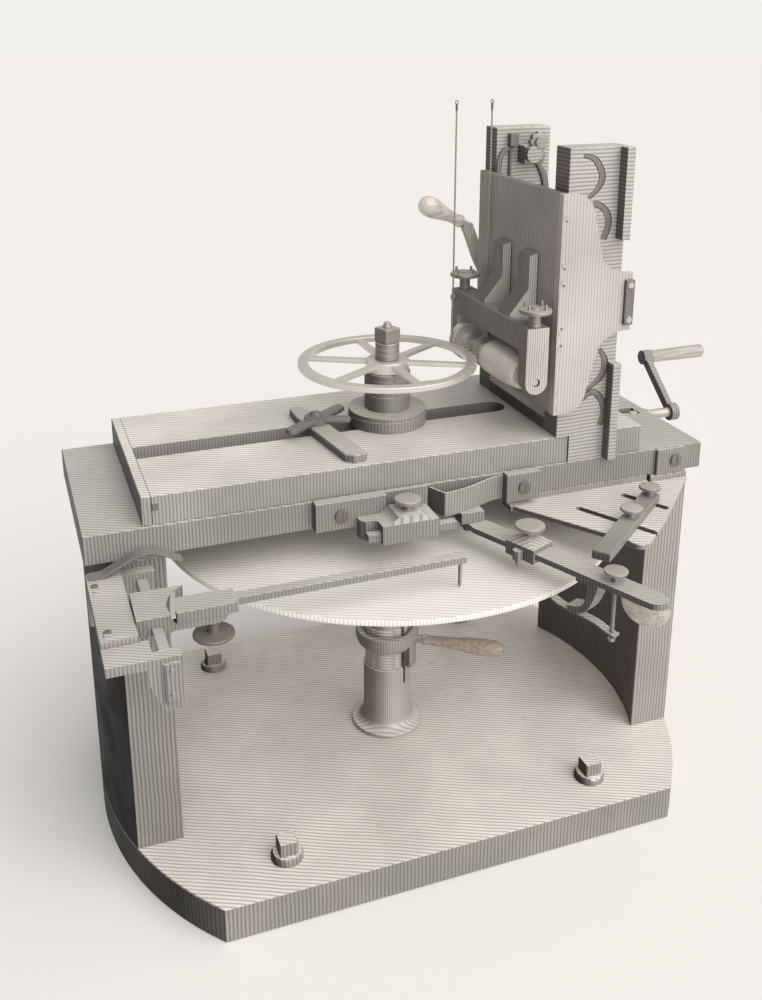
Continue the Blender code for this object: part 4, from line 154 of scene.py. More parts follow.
# %% A helper for node trees
class Finish:
    """A material's node tree, with short calls for the nodes that the finishes share."""

    def __init__(self, name, roughness, metallic):
        self.material = bpy.data.materials.new(name)
        self.material.use_nodes = True
        self.tree = self.material.node_tree
        self.shader = self.tree.nodes["Principled BSDF"]
        self.shader.inputs["Metallic"].default_value = metallic
        self.shader.inputs["Roughness"].default_value = roughness
        self.coords = self.add("ShaderNodeTexCoord")
        self.place = self.coords.outputs["Object"]

    def add(self, kind, inputs=(), **settings):
        node = self.tree.nodes.new(kind)
        for key, value in settings.items():
            setattr(node, key, value)
        for key, value in dict(inputs).items():
            if isinstance(value, bpy.types.NodeSocket):
                self.tree.links.new(value, node.inputs[key])
            else:
                node.inputs[key].default_value = value
        return node

    def sum(self, operation, a, b=0.0, c=0.0):
        return self.add("ShaderNodeMath", {0: a, 1: b, 2: c}, operation=operation).outputs[0]

    def parts(self, vector):
        return self.add("ShaderNodeSeparateXYZ", {0: vector}).outputs

    def noise(self, scale, detail=3.0, stretch=None):
        place = self.place
        if stretch:
            place = self.add("ShaderNodeMapping", {"Vector": place, "Scale": stretch}).outputs[0]
        inputs = {"Vector": place, "Scale": scale, "Detail": detail}
        return self.add("ShaderNodeTexNoise", inputs).outputs["Fac"]

    def between(self, value, low, high, to_low=0.0, to_high=1.0):
        inputs = {0: value, 1: low, 2: high, 3: to_low, 4: to_high}
        return self.add("ShaderNodeMapRange", inputs, clamp=True).outputs[0]

    def mix(self, share, a, b):
        node = self.add("ShaderNodeMix", data_type="RGBA")
        for socket, value in ((node.inputs[0], share), (node.inputs[6], a), (node.inputs[7], b)):
            if isinstance(value, bpy.types.NodeSocket):
                self.tree.links.new(value, socket)
            else:
                socket.default_value = value if isinstance(value, float) else (*value, 1)
        return node.outputs[2]

    def bump(self, height, strength, distance):
        inputs = {"Height": height, "Strength": strength, "Distance": distance}
        node = self.add("ShaderNodeBump", inputs)
        self.tree.links.new(node.outputs[0], self.shader.inputs["Normal"])

    def send(self, colour=None, roughness=None):
        for name, socket in (("Base Color", colour), ("Roughness", roughness)):
            if socket:
                self.tree.links.new(socket, self.shader.inputs[name])
        return self.material


print("helper for finishes:", Finish.__name__)

# %% [markdown]
# ## Tool marks
#
# A planing machine leaves fine parallel grooves. On this machine they run slantwise over every top and
# upright on every side, and on the tower's cheeks they lie level. One function works out, from the way a
# face looks, how far a point is across the grooves, and a sine makes the groove. Paint textures could show
# the same, but they would need an unwrapped surface for each piece.

# %% Groove patterns
SLANT_X, SLANT_Y = 0.4226, 0.9063
ROUND_RADIUS = 0.05


def shade(colour, share):
    return tuple(channel * share for channel in colour)


def grooves(f, way, top_pitch=0.0068, side_pitch=0.0043, depth=(-0.15, 0.95)):
    """A value from 0 on a ridge to 1 in a groove. way is upright, level, round or around."""
    x, y, z = f.parts(f.place)
    nx, ny, nz = (f.sum("ABSOLUTE", n) for n in f.parts(f.coords.outputs["Normal"]))
    slant = f.sum("ADD", f.sum("MULTIPLY", x, SLANT_X / top_pitch), f.sum("MULTIPLY", y, SLANT_Y / top_pitch))
    if way == "upright":
        looks_along_x = f.sum("GREATER_THAN", nx, ny)
        looks_along_y = f.sum("SUBTRACT", 1.0, looks_along_x)
        across = f.sum("ADD", f.sum("MULTIPLY", looks_along_x, y), f.sum("MULTIPLY", looks_along_y, x))
        flank = f.sum("DIVIDE", across, side_pitch)
    elif way == "level":
        flank = f.sum("DIVIDE", z, side_pitch)
    elif way == "round":
        flank = f.sum("DIVIDE", f.sum("MULTIPLY", f.sum("ARCTAN2", y, x), ROUND_RADIUS), side_pitch)
    else:
        radius = f.sum("SQRT", f.sum("ADD", f.sum("MULTIPLY", x, x), f.sum("MULTIPLY", y, y)))
        slant = f.sum("DIVIDE", radius, top_pitch)
        flank = f.sum("DIVIDE", z, side_pitch)
    on_top = f.sum("GREATER_THAN", nz, 0.6)
    on_side = f.sum("SUBTRACT", 1.0, on_top)
    count = f.sum("ADD", f.sum("MULTIPLY", on_top, slant), f.sum("MULTIPLY", on_side, flank))
    wander = f.sum("MULTIPLY", f.noise(14.0, 2.0), 0.9)
    wave = f.sum("SINE", f.sum("MULTIPLY", f.sum("ADD", count, wander), 2 * pi))
    return f.between(wave, *depth)


print("grooves slant", round(degrees(atan2(SLANT_X, SLANT_Y)), 1), "degrees from the bed's length")

# %% [markdown]
# ## Stains, wear and rubbed corners
#
# Old iron is never one grey. Slow noise makes the mottle, finer noise the grain and a few stains, and a bevel
# node finds the corners, which hands have rubbed brighter. Light and shade are also painted in by the way a
# face looks: each finish scales the colour of tops, fronts and left sides, mostly making tops lighter and
# left sides darker. Brush strokes on an image could do this too, but noise costs no image and fits any piece.

# %% Wear
def worn(f, colour, marks, mark_share, stain=0.16, rub=0.25):
    """The colour with its grooves darkened, a slow mottle, a few stains and lighter rubbed places."""
    mottle = f.between(f.noise(9.0, 5.0), 0.35, 0.70)
    ground = f.mix(mottle, shade(colour, 1 - stain), shade(colour, 1 + stain * 0.4))
    grain = f.between(f.noise(420.0, 2.0), 0.35, 0.65)
    ground = f.mix(f.sum("MULTIPLY", grain, 0.16), ground, shade(colour, 0.62))
    spots = f.between(f.noise(34.0, 4.0), 0.66, 0.76)
    ground = f.mix(f.sum("MULTIPLY", spots, 0.30), ground, shade(colour, 0.45))
    rubbed = f.between(f.noise(21.0, 3.0, (1.0, 3.0, 1.0)), 0.62, 0.80, 0.0, rub)
    ground = f.mix(rubbed, ground, shade(colour, 1.25))
    return f.mix(f.sum("MULTIPLY", marks, mark_share), ground, shade(colour, 0.34))


def painted_light_by_side(f, ground, top, front, left):
    """Paints light and shade by the way a face looks: tops, fronts and left sides are scaled by the finish's
    tones, and left sides get a lower specular level, so that they read as in shade.
    """
    nx, ny, nz = f.parts(f.coords.outputs["Normal"])
    # Painted light and shade: the colour is scaled up or down by the way the face looks.
    share = f.sum("MULTIPLY", f.between(nz, 0.45, 0.85, 1.0, top), f.between(ny, -0.30, -0.85, 1.0, front))
    share = f.sum("MULTIPLY", share, f.between(nx, -0.20, -0.85, 1.0, left))
    # Painted shade: sides that look left get a low specular level, so they show little sheen.
    f.tree.links.new(f.between(nx, -0.20, -0.85, 0.5, 0.04), f.shader.inputs["Specular IOR Level"])
    return f.add("ShaderNodeVectorMath", {0: ground, "Scale": share}, operation="SCALE").outputs[0]


def edge_rub(f, ground, light, reach=0.0016, share=0.30):
    """Lightens the colour near corners, where hands and rags have rubbed the metal bright."""
    rounded = f.add("ShaderNodeBevel", {"Radius": reach}, samples=4).outputs[0]
    flat = f.add("ShaderNodeNewGeometry").outputs["Normal"]
    facing = f.add("ShaderNodeVectorMath", {0: rounded, 1: flat}, operation="DOT_PRODUCT").outputs["Value"]
    near_edge = f.between(facing, 0.985, 0.86, 0.0, share)
    return f.mix(f.sum("MULTIPLY", near_edge, f.between(f.noise(60.0, 3.0), 0.30, 0.62)), ground, light)


print("wear comes from", ", ".join(step.__name__ for step in (worn, painted_light_by_side, edge_rub)))

# %% Iron
def iron(name, colour, way, mark_share, painted_light_tones, pitches, roughness=0.50, metallic=0.15):
    """Planed or filed iron: tool marks, stains, rubbed corners, painted light and shade by side, and a
    roughness that changes with them.
    """
    f = Finish(name, roughness, metallic)
    marks = grooves(f, way, *pitches)
    ground = edge_rub(f, worn(f, colour, marks, mark_share), shade(colour, 1.25))
    # Light and shade are painted here: the colour of tops, fronts and left sides is scaled by the finish's
    # tones.
    ground = painted_light_by_side(f, ground, *painted_light_tones)
    rough = f.between(f.noise(17.0, 4.0), 0.3, 0.7, roughness - 0.10, roughness + 0.12)
    fine = f.sum("MULTIPLY", f.noise(900.0, 2.0), 0.25)
    f.bump(f.sum("SUBTRACT", fine, f.sum("MULTIPLY", marks, 0.7)), 0.35, 0.0003)
    return f.send(ground, rough)


print("a finish for iron:", iron.__doc__.split(":")[0])

# %% Iron and steel finishes
CASTING = (0.56, 0.525, 0.49)
PLANED = (0.66, 0.625, 0.59)
STEEL = (0.62, 0.59, 0.555)
BRIGHT_STEEL = (0.70, 0.66, 0.62)
KNOB_STEEL = (0.54, 0.505, 0.47)
BLUED_STEEL = (0.26, 0.235, 0.21)
# Each row: colour, way of the grooves, their strength, the painted light and shade of tops, fronts and left
# sides, and the grooves' pitches on tops and on sides.
IRONS = {
    "base_iron": (CASTING, "upright", 0.72, (1.80, 0.60, 0.10), (0.0058, 0.0052)),
    "leg_iron": (shade(CASTING, 0.92), "upright", 0.80, (1.20, 0.60, 0.035), (0.0068, 0.0052)),
    "far_leg_iron": (shade(CASTING, 0.95), "upright", 0.72, (1.20, 0.78, 0.22), (0.0068, 0.0052)),
    "bed_iron": (PLANED, "upright", 0.72, (1.05, 0.52, 0.16), (0.0068, 0.0043)),
    "slide_iron": (PLANED, "upright", 0.66, (1.40, 0.62, 0.20), (0.0068, 0.0043)),
    "cheek_iron": (shade(PLANED, 0.95), "level", 0.75, (1.20, 0.88, 0.24), (0.0068, 0.0050)),
    # The cutter slide's face looks left, so its colour is painted darker, near half of planed iron, as shade.
    "face_iron_painted_shade": (shade(PLANED, 0.52), "upright", 0.75, (1.00, 1.00, 1.00), (0.0068, 0.0046)),
    "web_iron": (shade(PLANED, 1.20), "upright", 0.42, (1.00, 0.76, 0.50), (0.0068, 0.0046)),
    "frame_iron": (shade(CASTING, 0.95), "upright", 0.72, (0.60, 1.18, 0.42), (0.0040, 0.0034)),
    "dark_iron": (shade(CASTING, 0.50), "upright", 0.70, (1.10, 0.90, 0.50), (0.0040, 0.0034)),
    "bracket_iron": (PLANED, "upright", 0.66, (1.05, 0.50, 0.20), (0.0052, 0.0043)),
    "round_iron": (shade(CASTING, 1.10), "round", 0.62, (1.45, 0.95, 0.40), (0.0068, 0.0043)),
    "flange_iron": (shade(CASTING, 0.76), "round", 0.62, (1.45, 0.82, 0.30), (0.0068, 0.0043)),
    "ring_iron": (shade(CASTING, 0.80), "round", 0.66, (1.40, 1.00, 0.45), (0.0068, 0.0046)),
    "bar_iron": (shade(PLANED, 0.62), "upright", 0.60, (1.05, 0.75, 0.30), (0.0046, 0.0043)),
}
# The steels' rows end with the roughness and how metallic they are.
STEELS = {
    "turned_steel": (STEEL, "around", 0.36, (1.20, 0.90, 0.50), (0.0022, 0.0030), 0.34, 0.40),
    "bell_steel": (BRIGHT_STEEL, "level", 0.30, (1.15, 1.00, 1.00), (0.0068, 0.0032), 0.40, 0.30),
    "knob_steel": (KNOB_STEEL, "around", 0.46, (1.20, 0.80, 0.40), (0.0026, 0.0026), 0.40, 0.35),
    "dark_steel": (BLUED_STEEL, "around", 0.40, (1.10, 0.90, 0.50), (0.0026, 0.0030), 0.42, 0.40),
}
FINISHES = {name: iron(name, *row) for name, row in (IRONS | STEELS).items()}
print(len(FINISHES), "iron and steel finishes")

# %% [markdown]
# ## Brass, wood and gut
#
# The dividing plate is thin silvered brass with rings of tiny holes, one ring for each count of teeth. Real
# holes would need a great many faces, so the finish draws them: it turns a point's place into a radius and
# an angle, and marks a dot where both fall near a step. The wheel being cut is plain pale brass. Wood gets
# stretched noise for its grain, and the band gets slanting bands for its twisted strands.

# %% Brass
RINGS = ((0.306, 240), (0.298, 192), (0.290, 180), (0.282, 144), (0.274, 132), (0.266, 120))


def plate_brass():
    f = Finish("plate_brass", 0.42, 0.10)
    colour = (0.90, 0.865, 0.825)
    marks = grooves(f, "upright", 0.0064, 0.0043, (0.10, 0.95))
    ground = worn(f, colour, marks, 0.42, stain=0.05, rub=0.05)
    x, y, _ = f.parts(f.place)
    radius = f.sum("SQRT", f.sum("ADD", f.sum("MULTIPLY", x, x), f.sum("MULTIPLY", y, y)))
    turn = f.sum("DIVIDE", f.sum("ARCTAN2", y, x), 2 * pi)
    dots = None
    for ring, holes in RINGS:
        off = f.sum("SUBTRACT", f.sum("FRACT", f.sum("ADD", f.sum("MULTIPLY", turn, float(holes)), 0.5)), 0.5)
        along = f.sum("MULTIPLY", off, 2 * pi * ring / holes)
        out = f.sum("SUBTRACT", radius, ring)
        apart = f.sum("SQRT", f.sum("ADD", f.sum("MULTIPLY", along, along), f.sum("MULTIPLY", out, out)))
        dot = f.between(apart, 0.0007, 0.0012, 1.0, 0.0)
        line = f.between(f.sum("ABSOLUTE", f.sum("SUBTRACT", out, 0.0040)), 0.0002, 0.0006, 0.4, 0.0)
        mark = f.sum("MAXIMUM", dot, line)
        dots = f.sum("MAXIMUM", dots, mark) if dots else mark
    ground = f.mix(f.sum("MULTIPLY", dots, 0.20), ground, shade(colour, 0.25))
    ground = edge_rub(f, ground, (0.95, 0.93, 0.90))
    f.bump(f.sum("ADD", f.sum("MULTIPLY", marks, 0.5), dots), 0.30, -0.0004)
    return f.send(ground, f.between(f.noise(13.0, 4.0), 0.3, 0.7, 0.34, 0.52))


def pale_brass():
    f = Finish("pale_brass", 0.36, 0.45)
    colour = (0.74, 0.70, 0.65)
    marks = grooves(f, "around", 0.0024, 0.0032, (0.2, 1.0))
    ground = edge_rub(f, worn(f, colour, marks, 0.16, stain=0.10), shade(colour, 1.15))
    f.bump(marks, 0.25, -0.0002)
    return f.send(ground, f.between(f.noise(40.0, 4.0), 0.3, 0.7, 0.28, 0.48))


FINISHES["plate_brass"] = plate_brass()
FINISHES["pale_brass"] = pale_brass()
print(len(RINGS), "rings of holes, from", RINGS[0][1], "to", RINGS[-1][1])

# %% Wood and gut
def turned_wood(name, colour, along):
    f = Finish(name, 0.48, 0.0)
    stretch = tuple(1.0 if axis == along else 9.0 for axis in "XYZ")
    fibres = f.noise(26.0, 6.0, stretch)
    rings = f.sum("SINE", f.sum("MULTIPLY", f.noise(7.0, 2.0, stretch), 42.0))
    grain = f.sum("ADD", f.sum("MULTIPLY", fibres, 0.7), f.sum("MULTIPLY", f.between(rings, -1.0, 1.0), 0.3))
    ground = f.mix(f.between(grain, 0.30, 0.72), shade(colour, 0.74), shade(colour, 1.10))
    pores = f.between(f.noise(300.0, 2.0, stretch), 0.60, 0.68)
    ground = f.mix(f.sum("MULTIPLY", pores, 0.35), ground, shade(colour, 0.35))
    f.bump(grain, 0.25, 0.0005)
    f.shader.inputs["Coat Weight"].default_value = 0.15
    f.shader.inputs["Coat Roughness"].default_value = 0.35
    return f.send(ground, f.between(grain, 0.3, 0.8, 0.55, 0.40))


STRAND_ALONG, STRAND_ACROSS = 0.0042, 0.0040


def twisted_gut():
    f = Finish("twisted_gut", 0.55, 0.0)
    x, y, z = f.parts(f.place)
    sideways = f.sum("MULTIPLY", f.sum("ADD", x, y), 1.0 / STRAND_ACROSS)
    lay = f.sum("ADD", f.sum("MULTIPLY", z, 1.0 / STRAND_ALONG), sideways)
    strand = f.sum("SINE", f.sum("MULTIPLY", lay, 2 * pi))
    ground = f.mix(f.between(strand, -0.9, 0.4), (0.12, 0.10, 0.08), (0.44, 0.40, 0.34))
    f.bump(strand, 0.6, 0.0004)
    return f.send(ground, f.between(f.noise(200.0, 3.0), 0.3, 0.7, 0.45, 0.65))


FINISHES["grip_wood"] = turned_wood("grip_wood", (0.50, 0.46, 0.41), "X")
FINISHES["lever_wood"] = turned_wood("lever_wood", (0.74, 0.69, 0.63), "X")
FINISHES["arm_wood"] = turned_wood("arm_wood", (0.50, 0.455, 0.40), "Y")
FINISHES["handle_wood"] = turned_wood("handle_wood", (0.38, 0.32, 0.265), "X")
FINISHES["twisted_gut"] = twisted_gut()
print(len(FINISHES), "finishes in all")

# %% [markdown]
# ## Putting a piece on the machine
#
# Each finished piece says which packed nodes it stands for. It rides on their body, gets its finish and hides
# them.

# %% Helpers for finished pieces
def alone(obj):
    """Selects this object and nothing else."""
    bpy.ops.object.select_all(action="DESELECT")
    obj.select_set(True)
    bpy.context.view_layer.objects.active = obj
    return obj


def fit_on(piece, finish, *nodes, on=None):
    """Gives the piece its finish and body. on is the node that it is fixed to when it replaces none."""
    piece.data.materials.clear()
    piece.data.materials.append(FINISHES[finish])
    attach(piece, BODY[on or nodes[0]])
    if nodes:
        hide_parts(*nodes)
    return piece


def apply(obj, kind, **settings):
    """Adds a modifier with these settings and applies it."""
    alone(obj)
    modifier = obj.modifiers.new(kind.lower(), kind)
    for key, value in settings.items():
        setattr(modifier, key, value)
    bpy.ops.object.modifier_apply(modifier=modifier.name)
    return obj


def smooth(obj, degrees=35):
    alone(obj)
    bpy.ops.object.shade_smooth_by_angle(angle=radians(degrees))
    return obj


def combine(obj, other, operation):
    """A Boolean of the two. The other one is used up."""
    apply(obj, "BOOLEAN", object=other, operation=operation, solver="EXACT")
    bpy.data.objects.remove(other, do_unlink=True)
    return obj


# %% [markdown]
# ## The drive band
#
# An endless gut cord drives the cutter. It comes down from a wheel overhead, passes under the grooved
# pulley and goes up again. The two runs are modelled as curves, each with one smooth spline, because a
# curve keeps the cord's thickness even round the pulley. A hook and eye joins such a band, so each run ends
# at the top in a small steel eye with a bound ferrule.

# %% Two runs of gut
PULLEY = Vector((0.147, 0.050, 0.628))
BAND_RADIUS, BAND_TOP = 0.0012, 0.968
WRAP = 0.0270


def band_route(side):
    """Points of one run. The front one starts behind the pulley and passes under it first."""
    rise = BAND_TOP - PULLEY.z
    upright = [(PULLEY.x + side * WRAP, PULLEY.y, PULLEY.z + 0.0003 + rise * i / 26) for i in range(1, 27)]
    if side > 0:
        return [(PULLEY.x + WRAP, PULLEY.y, PULLEY.z + 0.0009), *upright]
    turns = [radians(360 - 180 * i / 24) for i in range(25)]
    return [(PULLEY.x + WRAP * cos(t), PULLEY.y, PULLEY.z + WRAP * sin(t)) for t in turns] + upright


def band_run(name, side):
    points = band_route(side)
    curve = bpy.data.curves.new(name, "CURVE")
    curve.dimensions = "3D"
    curve.bevel_depth, curve.bevel_resolution, curve.use_fill_caps = BAND_RADIUS, 4, True
    spline = curve.splines.new("POLY")
    spline.points.add(len(points) - 1)
    for point, place in zip(spline.points, points):
        point.co = (*place, 1)
    run = bpy.data.objects.new(name, curve)
    bpy.context.scene.collection.objects.link(run)
    length = sum((Vector(b) - Vector(a)).length for a, b in zip(points, points[1:]))
    return run, points, length


def band_eye(name, top):
    """A ferrule and a small ring of wire on the end of a run."""
    bpy.ops.mesh.primitive_torus_add(
        location=(top[0], top[1], top[2] + 0.0026), rotation=(0, pi / 2, 0.5), major_radius=0.0024,
        minor_radius=0.0006, major_segments=28, minor_segments=10,
    )
    eye = bpy.context.object
    bpy.ops.object.transform_apply(location=True, rotation=True, scale=True)
    under = (top[0], top[1], top[2] - 0.0040)
    bpy.ops.mesh.primitive_cylinder_add(vertices=24, radius=0.0017, depth=0.0090, location=under)
    ferrule = bpy.context.object
    bpy.ops.object.transform_apply(location=True, rotation=True, scale=True)
    apply(ferrule, "BEVEL", width=0.0004, segments=2)
    combine(eye, ferrule, "UNION")
    eye.name = name
    return smooth(eye)


for run_name, run_side in (("band_front", -1), ("band_rear", 1)):
    run, run_points, run_length = band_run(run_name, run_side)
    cad_run = f"band_run_{run_name.split('_')[1]}"
    fit_on(run, "twisted_gut", cad_run)
    eye = fit_on(band_eye(f"{run_name}_eye", run_points[-1]), "dark_steel", on="cutter_frame")
    print(run_name, round(run_length, 4), "m")

# %% [markdown]
# ## Castings and planed plates
#
# The base, legs, bed, plates, cheeks and brackets are flat-sided castings. Their shapes and bevels are
# already right in the packed model, but its faces are loose triangles with flat shading. A copy of each
# node is merged, its flat faces are made whole again, and its normals are weighted by area, so that large
# faces stay flat. The pieces with curved sides are smoothed up to a wider angle than the planed ones.

# %% Working up a casting
CURVED = {"arm_grip", "lift_spring", "leaf_spring", "clamp_screw", "lift_lever", "crank_arm", "cutter_frame"}
CURVED_ANGLE, PLANED_ANGLE = 48, 30


def worked_copy(node):
    """A merged copy of a packed node, with whole faces and weighted normals."""
    piece = frame["nodes"][node].copy()
    piece.data = piece.data.copy()
    for key in list(piece.keys()):
        del piece[key]
    piece.name = f"{node}_finished"
    piece.parent = None
    bpy.context.scene.collection.objects.link(piece)
    alone(piece)
    bpy.ops.object.mode_set(mode="EDIT")
    bpy.ops.mesh.select_all(action="SELECT")
    bpy.ops.mesh.remove_doubles(threshold=0.00001)
    bpy.ops.mesh.dissolve_limited(angle_limit=radians(0.4))
    bpy.ops.object.mode_set(mode="OBJECT")
    smooth(piece, CURVED_ANGLE if node in CURVED else PLANED_ANGLE)
    apply(piece, "WEIGHTED_NORMAL", keep_sharp=True, weight=60)
    return piece


print(len(CURVED), "castings have curved sides")

# %% The castings
CASTINGS = {
    "base_plate": "base_iron",
    "leg_left": "leg_iron",
    "leg_right": "far_leg_iron",
    "bed": "bed_iron",
    "sliding_plate": "slide_iron",
    "end_batten": "slide_iron",
    "tower_cheek_near": "cheek_iron",
    "tower_cheek_far": "cheek_iron",
    "tower_sill": "bed_iron",
    "cutter_slide_face": "face_iron_painted_shade",
    "cutter_slide_web": "web_iron",
    "cutter_slide_keeper": "bed_iron",
    "cutter_frame": "frame_iron",
    "front_guide": "bracket_iron",
    "spring_plate": "bracket_iron",
    "leaf_spring": "slide_iron",
    "bed_end_plate": "bracket_iron",
    "index_bracket": "bracket_iron",
    "index_guide_bar": "turned_steel",
    "lift_spring": "dark_iron",
    "side_plate": "slide_iron",
    "clamp_bar": "bracket_iron",
    "clamp_screw": "dark_iron",
    "index_block": "bracket_iron",
    "index_carrier": "bracket_iron",
    "stop_block": "bracket_iron",
    "second_arm": "bracket_iron",
    "claw_leaf": "bracket_iron",
    "arm_runner": "bracket_iron",
    "cross_bar": "bar_iron",
    "arm_grip": "arm_wood",
    "lift_lever": "web_iron",
    "crank_arm": "bar_iron",
    "lifting_shaft": "turned_steel",
    "lead_screw": "turned_steel",
    "cutter": "turned_steel",
    "arbor_nut": "knob_steel",
}
PIECES = {}
for node, finish in CASTINGS.items():
    PIECES[node] = fit_on(worked_copy(node), finish, node)
print(len(PIECES), "castings worked up")

# %% [markdown]
# ## Turned pieces
#
# Everything round on the machine came off a lathe. A lathe piece is half of its outline, spun about its
# axis. The outline is drawn by pushing one corner from point to point in edit mode, and the spin operator
# makes the round. Sizes are in millimetres: the first number is the radius, and the second the distance
# along the axis.

# %% A lathe
MM = 0.001


def turned(name, outline, foot, axis="Z", steps=96, closed=False):
    """Spins an outline of (radius, distance) in millimetres about an axis through foot."""
    along = Vector([float(letter == axis) for letter in "XYZ"]) if isinstance(axis, str) else axis
    out = along.orthogonal().normalized()
    foot = Vector(foot)
    points = [foot + out * (radius * MM) + along * (distance * MM) for radius, distance in outline]
    bpy.ops.mesh.primitive_plane_add(size=0.01, location=points[0])
    piece = bpy.context.object
    bpy.ops.object.transform_apply(location=True, rotation=True, scale=True)
    piece.name = name
    bpy.ops.object.mode_set(mode="EDIT")
    bpy.ops.mesh.select_mode(type="VERT")
    bpy.ops.mesh.select_all(action="SELECT")
    bpy.ops.mesh.merge(type="CENTER")
    for before, after in zip(points, points[1:]):
        bpy.ops.mesh.extrude_vertices_move(TRANSFORM_OT_translate={"value": after - before})
    bpy.ops.mesh.select_all(action="SELECT")
    if closed:
        ends = points[-1] - points[0]
        bpy.ops.mesh.select_all(action="DESELECT")
        bpy.ops.object.mode_set(mode="OBJECT")
        piece.data.vertices[0].select = piece.data.vertices[len(points) - 1].select = ends.length > 0
        bpy.ops.object.mode_set(mode="EDIT")
        bpy.ops.mesh.edge_face_add()
        bpy.ops.mesh.select_all(action="SELECT")
    bpy.ops.mesh.spin(steps=steps, angle=2 * pi, center=foot, axis=along)
    bpy.ops.mesh.select_all(action="SELECT")
    bpy.ops.mesh.remove_doubles(threshold=0.000002)
    bpy.ops.mesh.normals_make_consistent(inside=False)
    bpy.ops.object.mode_set(mode="OBJECT")
    return smooth(piece, 32)


def foot_of(node):
    """The middle of a node's underside."""
    low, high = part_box(node)
    return Vector(((low.x + high.x) / 2, (low.y + high.y) / 2, low.z))


def quarter(centre, radius, start, end, steps=6):
    """Points of a rounded corner in an outline, from start to end degrees."""
    turns = [radians(start + (end - start) * i / steps) for i in range(steps + 1)]
    return [(centre[0] + radius * cos(t), centre[1] + radius * sin(t)) for t in turns]


print("the spindle's foot is at", [round(value, 4) for value in foot_of("spindle")])

# %% [markdown]
# ## The footstep pillar and its ring nut
#
# The spindle stands in a pillar with a flared foot. The pillar's top is slit and threaded, and a ring nut
# with a long handle climbs the thread and closes the slit on the spindle like a clamp. The thread is drawn
# as close rings, because the eye can't tell them from a true helix at this pitch and rings are simple to
# spin.

# %% Helpers for the pillar
def thread(radius, depth, start, end, pitch):
    """Outline points of a thread, as close rings with rounded crests."""
    count = int((end - start) / pitch)
    rows = []
    for i in range(count):
        base = start + i * pitch
        rows += [(radius, base + pitch * share) for share in (0.10, 0.30)]
        rows += [(radius - depth, base + pitch * share) for share in (0.65, 0.75)]
    return rows


def turn_about_spindle(piece, degrees):
    """Turns a piece about the spindle's axis in edit mode, so its object stays unturned."""
    alone(piece)
    bpy.ops.object.mode_set(mode="EDIT")
    bpy.ops.mesh.select_all(action="SELECT")
    bpy.ops.transform.rotate(value=-radians(degrees), orient_axis="Z", center_override=(0, 0, 0))
    bpy.ops.object.mode_set(mode="OBJECT")
    return piece


def block(low, high, bevel=0.0):
    """A box between two corners, with softened edges."""
    low, high = Vector(low), Vector(high)
    bpy.ops.mesh.primitive_cube_add(size=1, location=(low + high) / 2, scale=high - low)
    piece = bpy.context.object
    bpy.ops.object.transform_apply(location=True, rotation=True, scale=True)
    if bevel:
        apply(piece, "BEVEL", width=bevel, segments=2)
    return piece


HANDLE_TURN, SLIT_TURN = -34, -62
print("handle at", HANDLE_TURN, "degrees, slit at", SLIT_TURN)

# %% Pillar and ring nut
pillar_foot = foot_of("footstep_pillar")
outline = [(0, 0), (51, 0), (53.2, 1), (54, 3), (53.4, 5), (52, 6)]
outline += quarter((54, 23), 17.5, 262, 184, 10) + [(35, 26), (35, 102), (34, 103), (32.5, 103)]
outline += thread(32.5, 2.2, 104, 174, 4.7)
outline += [(30.5, 176), (30.5, 191), (29.5, 192), (20.6, 192), (20.6, 20), (0, 20)]
pillar = turned("footstep_pillar_finished", outline, pillar_foot)
slit = block((0, -0.0025, pillar_foot.z + 0.075), (0.060, 0.0025, pillar_foot.z + 0.210))
combine(pillar, turn_about_spindle(slit, SLIT_TURN), "DIFFERENCE")
fit_on(smooth(pillar, 40), "round_iron", "footstep_pillar")

ring_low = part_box("ring_nut")[0].z + 0.026
outline = [(33.2, 0), (38, 0), (39.2, 0.8), (41, 3), (44.2, 7), (46.2, 13), (47, 17), (47, 25.4)]
outline += [(46.2, 27.2), (44.6, 28)]
outline += [(39.5, 28), (38.2, 27), (37.6, 22), (33.2, 22)]
ring = turned("ring_nut_finished", outline, (0, 0, ring_low), closed=True)
handle_level = ring_low + 0.0115
outline = [(0, 43), (6, 43), (6, 55), (8, 56), (8, 60), (6, 61), (6, 70), (0, 70)]
stem = turned("stem", outline, (0, 0, handle_level), "X", 40)
combine(ring, turn_about_spindle(stem, HANDLE_TURN), "UNION")
lug = block((0.0357, -0.009, ring_low - 0.026), (0.0460, 0.009, ring_low + 0.008), 0.001)
combine(ring, turn_about_spindle(lug, SLIT_TURN + 10), "UNION")
fit_on(smooth(ring), "ring_iron", "ring_nut")

outline = [(0, 59.5), (6, 59.5), (7.2, 60), (7.0, 66), (7.4, 80), (8.4, 96), (10.2, 114)]
outline += [(11.6, 130), (12.4, 144), (12.5, 154)]
outline += [(11.9, 163), (10.4, 170), (7.6, 175), (3.8, 176.8), (0, 177)]
handle = turned("ring_nut_handle_finished", outline, (0, 0, handle_level), "X", 64)
fit_on(smooth(turn_about_spindle(handle, HANDLE_TURN), 60), "handle_wood", "ring_nut_handle")
print("pillar", len(pillar.data.polygons), "faces, ring nut", len(ring.data.polygons), "faces")

# %% [markdown]
# ## The spindle and what turns with it
#
# From below: the dividing plate on its hub, the broad flange on the bed, a sleeve, the wheel being cut, two
# spacing collars and a square nut on the stud. All turn as one, so each is its own piece on the same body.

# %% Spindle and dividing plate
outline = [(0, 0), (20, 0), (20, 319), (44, 319.4), (50, 321.5), (55, 326), (55, 335), (20, 335.4)]
outline += [(20, 357.4), (18, 358.4), (18, 490), (12, 490.6), (12, 584.2), (6, 584.4)]
outline += thread(6, 0.7, 592, 611, 1.6) + [(5.2, 611.6), (3.6, 612.6), (0, 612.6)]
fit_on(turned("spindle_finished", outline, foot_of("spindle"), steps=72), "turned_steel", "spindle")

